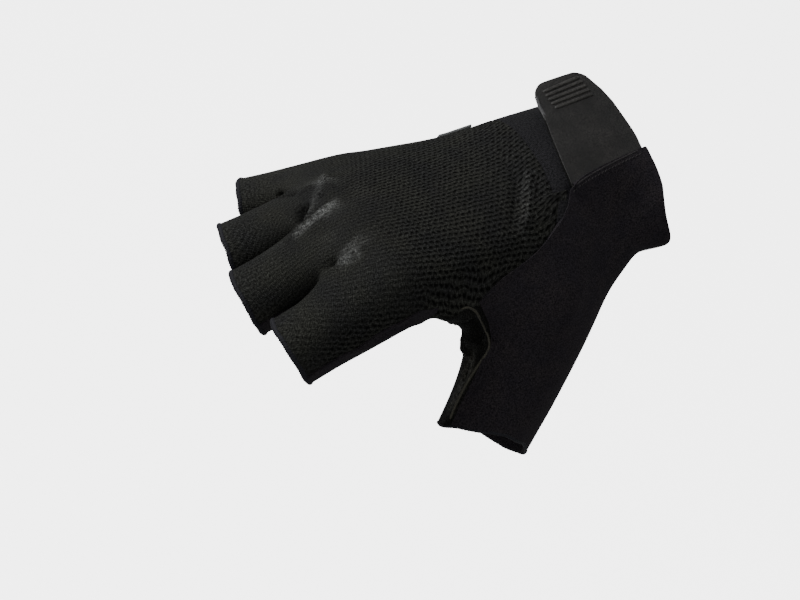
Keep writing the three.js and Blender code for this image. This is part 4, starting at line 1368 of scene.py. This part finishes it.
# %% [markdown]
# ## Bound hems
# Each finger opening has a narrow rolled edge, closed by an overlock stitch: threads lie side by
# side round the roll and give it a knobbly look. A torus has the right topology, so its rings are
# led along the sleeve's rim, and its radius swells and shrinks with each thread. The thumb has a
# much thinner bound edge.

# %% Hems
THREAD_PITCH = 0.85 * MM
RINGS_PER_THREAD = 3
MOST_RINGS = 256  # the most that a torus can be made with
HEM_SIDES = 12


def closed_resample(lines, count):
    """Points at equal steps round a closed line, for several tables at once."""
    way = way_of(np.concatenate([lines[0], lines[0][:1]]))
    marks = np.linspace(0, way[-1], count, endpoint=False)
    made = []
    for table in lines:
        ring = np.concatenate([table, table[:1]])
        made.append(np.column_stack([np.interp(marks, way, ring[:, axis]) for axis in range(3)]))
    return made, way[-1]


def smooth_ring(table, rounds):
    for _ in range(rounds):
        table = (np.roll(table, 1, axis=0) + 2 * table + np.roll(table, -1, axis=0)) / 4
    return table


def rolled_hem(name, line, radius, sunk, beyond, swell, finish, waves=0.0, seed=0):
    """A rolled, thread-bound edge along a closed rim; sunk and beyond place its middle."""
    threads = min(int(round(way_of(line[0])[-1] / THREAD_PITCH)), MOST_RINGS // RINGS_PER_THREAD)
    rings = threads * RINGS_PER_THREAD
    (place, outward, ahead), length = closed_resample(line, rings)
    place = smooth_ring(place, 6)
    outward, ahead = smooth_ring(outward, 30), smooth_ring(ahead, 30)
    ahead -= outward * (ahead * outward).sum(axis=1)[:, None]
    outward /= np.linalg.norm(outward, axis=1)[:, None]
    ahead /= np.linalg.norm(ahead, axis=1)[:, None]
    turns = np.arange(rings) / rings * 2 * math.pi
    wave = np.array([noise.noise(Vector((math.cos(t) * 2, math.sin(t) * 2, seed))) for t in turns])
    middle = place - outward * sunk + ahead * (beyond + waves * wave)[:, None]
    bpy.ops.object.select_all(action="DESELECT")
    bpy.ops.mesh.primitive_torus_add(major_segments=rings, minor_segments=HEM_SIDES)
    hem = bpy.context.object
    hem.name = hem.data.name = name
    angle = np.arange(HEM_SIDES) / HEM_SIDES * 2 * math.pi
    phase = np.arange(rings)[:, None] / RINGS_PER_THREAD * 2 * math.pi - angle[None] * 0.9
    jitter = [noise.noise(Vector((k / RINGS_PER_THREAD * 0.9, seed, 3.1))) for k in range(rings)]
    size = radius * (1 + swell * np.cos(phase) + 0.12 * np.array(jitter)[:, None])
    rim_way = np.cos(angle)[None, :, None] * outward[:, None] + np.sin(angle)[None, :, None] * ahead[:, None]
    put(hem, (middle[:, None] + rim_way * size[:, :, None]).reshape(-1, 3))
    with editing(hem) as steps:
        steps.normals_make_consistent(inside=False)
    bpy.ops.object.shade_smooth()
    hem.data.materials.append(finish)
    print(name, round(length / MM), "mm round,", threads, "threads")


FINGER_HEM = (0.95, 0.65, 0.2)  # mm: radius, depth below the cloth's face, reach beyond its edge
THUMB_HEM = (0.5, 0.3, 0.1)
HEM_SWELL = 0.13
HEM_WAVES = 0.5 * MM
HEMS = {"finger0": "middle", "finger1": "index", "finger2": "ring", "finger3": "little", "thumb": "thumb"}
for seed, (rim_name, finger) in enumerate(HEMS.items()):
    sizes = [size * MM for size in (THUMB_HEM if finger == "thumb" else FINGER_HEM)]
    rolled_hem("binding_" + finger, rim_lines[rim_name], *sizes, HEM_SWELL, BINDING, HEM_WAVES, seed)

# %% [markdown]
# ## Grip ribs
# Five raised ribs near the tab's free end give the fingers a grip. Each is a short bar with round
# ends, laid along a line of the picture on the tab. Their lighter rubber is a painted highlight.

# %% Ribs
RIB_LINES = (
    ((543, 92.5), (579, 77)),
    ((545.5, 96.5), (583, 81)),
    ((548, 100.5), (586.5, 85.5)),
    ((551, 104.5), (590, 89.5)),
    ((554.5, 108.5), (593, 94)),
)
RIB_RADIUS = 0.68 * MM
RIB_SUNK = 0.02 * MM
RIB_ENDS = (0.25, 0.7, 0.92)


def bar_along(name, spots, outward, radius, sunk, ends, finish, sides=3):
    """A round-ended bar along a line of points, from a bevelled curve made a mesh."""
    data = bpy.data.curves.new(name, "CURVE")
    data.dimensions, data.bevel_depth, data.bevel_resolution = "3D", radius, sides
    data.use_fill_caps = True
    line = data.splines.new("POLY")
    line.points.add(len(spots) - 1)
    for k, (place, up) in enumerate(zip(spots, outward)):
        line.points[k].co = (*(place - up * sunk), 1)
        edge = min(k, len(spots) - 1 - k)
        line.points[k].radius = ends[edge] if edge < len(ends) else 1
    bar = bpy.data.objects.new(name, data)
    bpy.context.scene.collection.objects.link(bar)
    only(bar)
    bpy.ops.object.convert(target="MESH")
    bar = bpy.context.object
    bar.data.materials.append(finish)
    bpy.ops.object.shade_smooth_by_angle(angle=math.radians(50))
    return bar


tab_clay = Clay(tab)
bars = []
for number, pixels in enumerate(RIB_LINES):
    spots, share = tab_clay.walk(pixels)
    keep = np.array([0, 0.012, 0.035, *np.linspace(0.08, 0.92, 12), 0.965, 0.988, 1])
    spots = np.column_stack([np.interp(keep, share, spots[:, axis]) for axis in range(3)])
    outward = np.array([tab_clay.tree.find_nearest(Vector(place))[1] for place in spots])
    outward = np.repeat(outward.mean(axis=0)[None], len(spots), axis=0)
    bars.append(bar_along("rib%d" % number, spots, outward, RIB_RADIUS, RIB_SUNK, RIB_ENDS, RIB_RUBBER_HIGHLIT))
joined([tab, *bars], "tab_body")
print("tab with ribs:", len(tab.data.polygons), "faces")

# %% [markdown]
# ## Piping and stitches
# A light piping follows the web of the thumb. Where the suede overlaps the tab its edge is turned
# and sewn down by a row of slanted stitches, and a thin light bar along the turned edge is a painted
# highlight. All are thin bars laid on the cloth that they hold.

# %% Piping of the gusset, stitches and painted highlight of the suede's edge
PIPING_LINE = (
    (461, 309), (468, 306), (476, 311), (483, 324), (489, 338), (490, 348), (484, 357), (475, 370),
    (465, 386), (456, 404), (450, 419)
)
PIPE = {"radius": 0.42 * MM, "sunk": 0.05 * MM, "finish": PIPING}
STITCHES = 21
STITCH_PARTS = np.array([0.14, 0.26, 0.5, 0.74, 0.86])  # of a stitch's share of the line
STITCH_SLANT = 0.22
STITCH = {"radius": 0.2 * MM, "sunk": 0, "finish": SEWING, "sides": 1}
SUEDE_EDGE = ((572, 188), (577, 184), (590, 175), (607, 165.5), (626, 156), (638, 150.5))
# a light bar along the suede's turned edge: a painted highlight
EDGE = {"radius": 0.26 * MM, "sunk": 0.1 * MM, "finish": SEWING}
BAR_ENDS = (0.6, 0.9)
piping_trees = tree_of(cloth["suede_palm"]), tree_of(cloth["knit_gusset"])


def laid(line, shares, trees):
    """Points and outward directions where a pixel line falls on the nearest of some trees."""
    hits = [cast(along(line, at), trees) for at in shares]
    return [np.array([np.array(hit[k]) for hit in hits if hit]) for k in (0, 1)]


def evened(rows, times):
    for _ in range(times):
        rows[1:-1] = (rows[:-2] + 2 * rows[1:-1] + rows[2:]) / 4
    return rows


points, ways = laid(PIPING_LINE, np.linspace(0, 1, 70), piping_trees)
piping = bar_along("gusset_piping", evened(points, 6), evened(ways, 12), ends=BAR_ENDS, **PIPE)
points, ways = laid(SUEDE_EDGE, np.linspace(0, 1, 50), piping_trees[:1])
stitches = [bar_along("suede_edge_highlight", evened(points, 8), evened(ways, 12), ends=BAR_ENDS, **EDGE)]
for number in range(STITCHES):
    points, ways = laid(STITCH_LINE, (number + STITCH_PARTS) / STITCHES, piping_trees[:1])
    slant = np.linspace(-STITCH_SLANT, STITCH_SLANT, len(points))[:, None]
    points += np.cross(ways, points[-1] - points[0]) * slant
    stitches.append(bar_along("stitch", points, ways, ends=BAR_ENDS, **STITCH))
sewing = joined(stitches, "edge_stitches_and_highlight")
print("piping:", len(piping.data.polygons), "faces; stitches:", len(sewing.data.polygons), "faces")

# %% [markdown]
# ## Hook layer
# The hook layer is the strip under the tab, a little wider than it on the finger side, where its
# woven edge shows.

# %% Hook layer
HOOK_LEFT = ((564, 164), (558, 148), (551, 132), (544, 118), (538, 107), (534.5, 97))
HOOK_WALL = 1.0 * MM
HOOK_GRID = (49, 25)
HOOK_CORNERS = ((563, 151), (623, 123))
HOOK_EDGE = 0.2 * MM
HOOK_ROOM = 0.15 * MM  # between the strip and the tab over it
hook_sheet = facing_cuff("hook_strip")
hook_rows = grid_rows(hook_sheet, *HOOK_CORNERS)
print("hook grid:", hook_rows.shape[:2])
hook_grid = regrid(hook_rows, HOOK_GRID)
hook_outward = np.array(skin_tree.find_nearest(Vector(hook_grid[20, 12]))[1])
hook_seen = picture_place(hook_grid[:, 0])
off = along(HOOK_LEFT, np.linspace(0, 1, HOOK_GRID[0])) - hook_seen[:, :2]
hold = (1 - np.linspace(0, 1, HOOK_GRID[1]))[None, :, None]
hook_grid += hold * in_space(off, hook_seen[:, 2:])[:, None]
tab_tree = tree_of(tab)
UNDER, FAR = 5 * MM, 12 * MM  # where the search for the tab starts, and its length
for place in hook_grid.reshape(-1, 3):  # the strip stays under the tab
    outward = skin_tree.find_nearest(Vector(place))[1]
    hit = tab_tree.ray_cast(Vector(place) - outward * UNDER, outward, FAR)
    if hit[0] is not None:
        place -= np.array(outward) * max(0, HOOK_WALL + HOOK_ROOM - (hit[3] - UNDER))
hook_layer = grid_piece("hook_layer", hook_grid)
walled(hook_layer, hook_outward, HOOK_WALL, HOOK_EDGE, 2)
hook_layer.data.materials.append(HOOKS)
bpy.data.objects.remove(hook_sheet)
print("hook layer:", len(hook_layer.data.polygons), "faces")

# %% [markdown]
# ## The label plate
# A small plate stands on edge-on on the far side of the hand. Its solid is a plain box, so a copy
# gets rounded corners and a brushed finish. It carries no lettering.

# %% Label plate
PLATE_EDGE = 0.22 * MM
PLATE_LIES = 0.1 * MM  # height of its lowest corner over the cloth
plate = node_copy("back_label", "label_plate")
with editing(plate) as steps:
    steps.dissolve_limited(angle_limit=math.radians(2))
shape_by(plate, "BEVEL", width=PLATE_EDGE, segments=3, limit_method="ANGLE")
smooth(plate, 40)
plate_place = coords(plate)
spot, plate_up = skin_tree.find_nearest(Vector(plate_place.mean(axis=0)))[:2]
lowest = min((point - np.array(spot)) @ np.array(plate_up) for point in plate_place)
put(plate, plate_place - np.array(plate_up) * (lowest + PLATE_LIES))
plate.data.materials.append(PLATE)
print("label plate:", len(plate.data.polygons), "faces, lowered", round(lowest / MM, 2), "mm")

# %% [markdown]
# ## What each piece stands for
# Every piece rides on the one body and replaces its solid. The first word of each row names a
# material slot, which nothing here reads.

# %% Fasten the pieces
RIMS = ("ring", "middle", "little", "index", "thumb")
STANDS_FOR = {
    "knit_back": ("knit", "back_panel"),
    "suede_palm": ("suede", *SUEDE_NODES),
    "stretch_cuff": ("stretch", "cuff_band"),
    "knit_gusset": ("knit", "thumb_gusset"),
    "tab_body": ("moulded", "closure_tab"),
    "hook_layer": ("hook", "hook_strip"),
    "label_plate": ("label", "back_label"),
    "gusset_piping": ("knit", "thumb_gusset"),
    "edge_stitches_and_highlight": ("suede", "palm_panel"),
    **{"binding_" + rim: ("binding", "hem_" + rim) for rim in RIMS},
}
for name, (slot_name, *nodes) in STANDS_FOR.items():
    piece = bpy.data.objects[name]
    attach(piece, "root")
    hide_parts(*nodes)
for name, (finish, wall) in CLOTHS.items():
    width, length, area = flat_cut[finish.name]
print("pieces:", sorted(STANDS_FOR))

# %% Size and finish
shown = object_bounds()
sizes = {"cad": [list(corner) for corner in CAD_BOX], "visual": [list(corner) for corner in shown]}
print("visual box in mm:", [[round(v / MM, 1) for v in corner] for corner in shown])
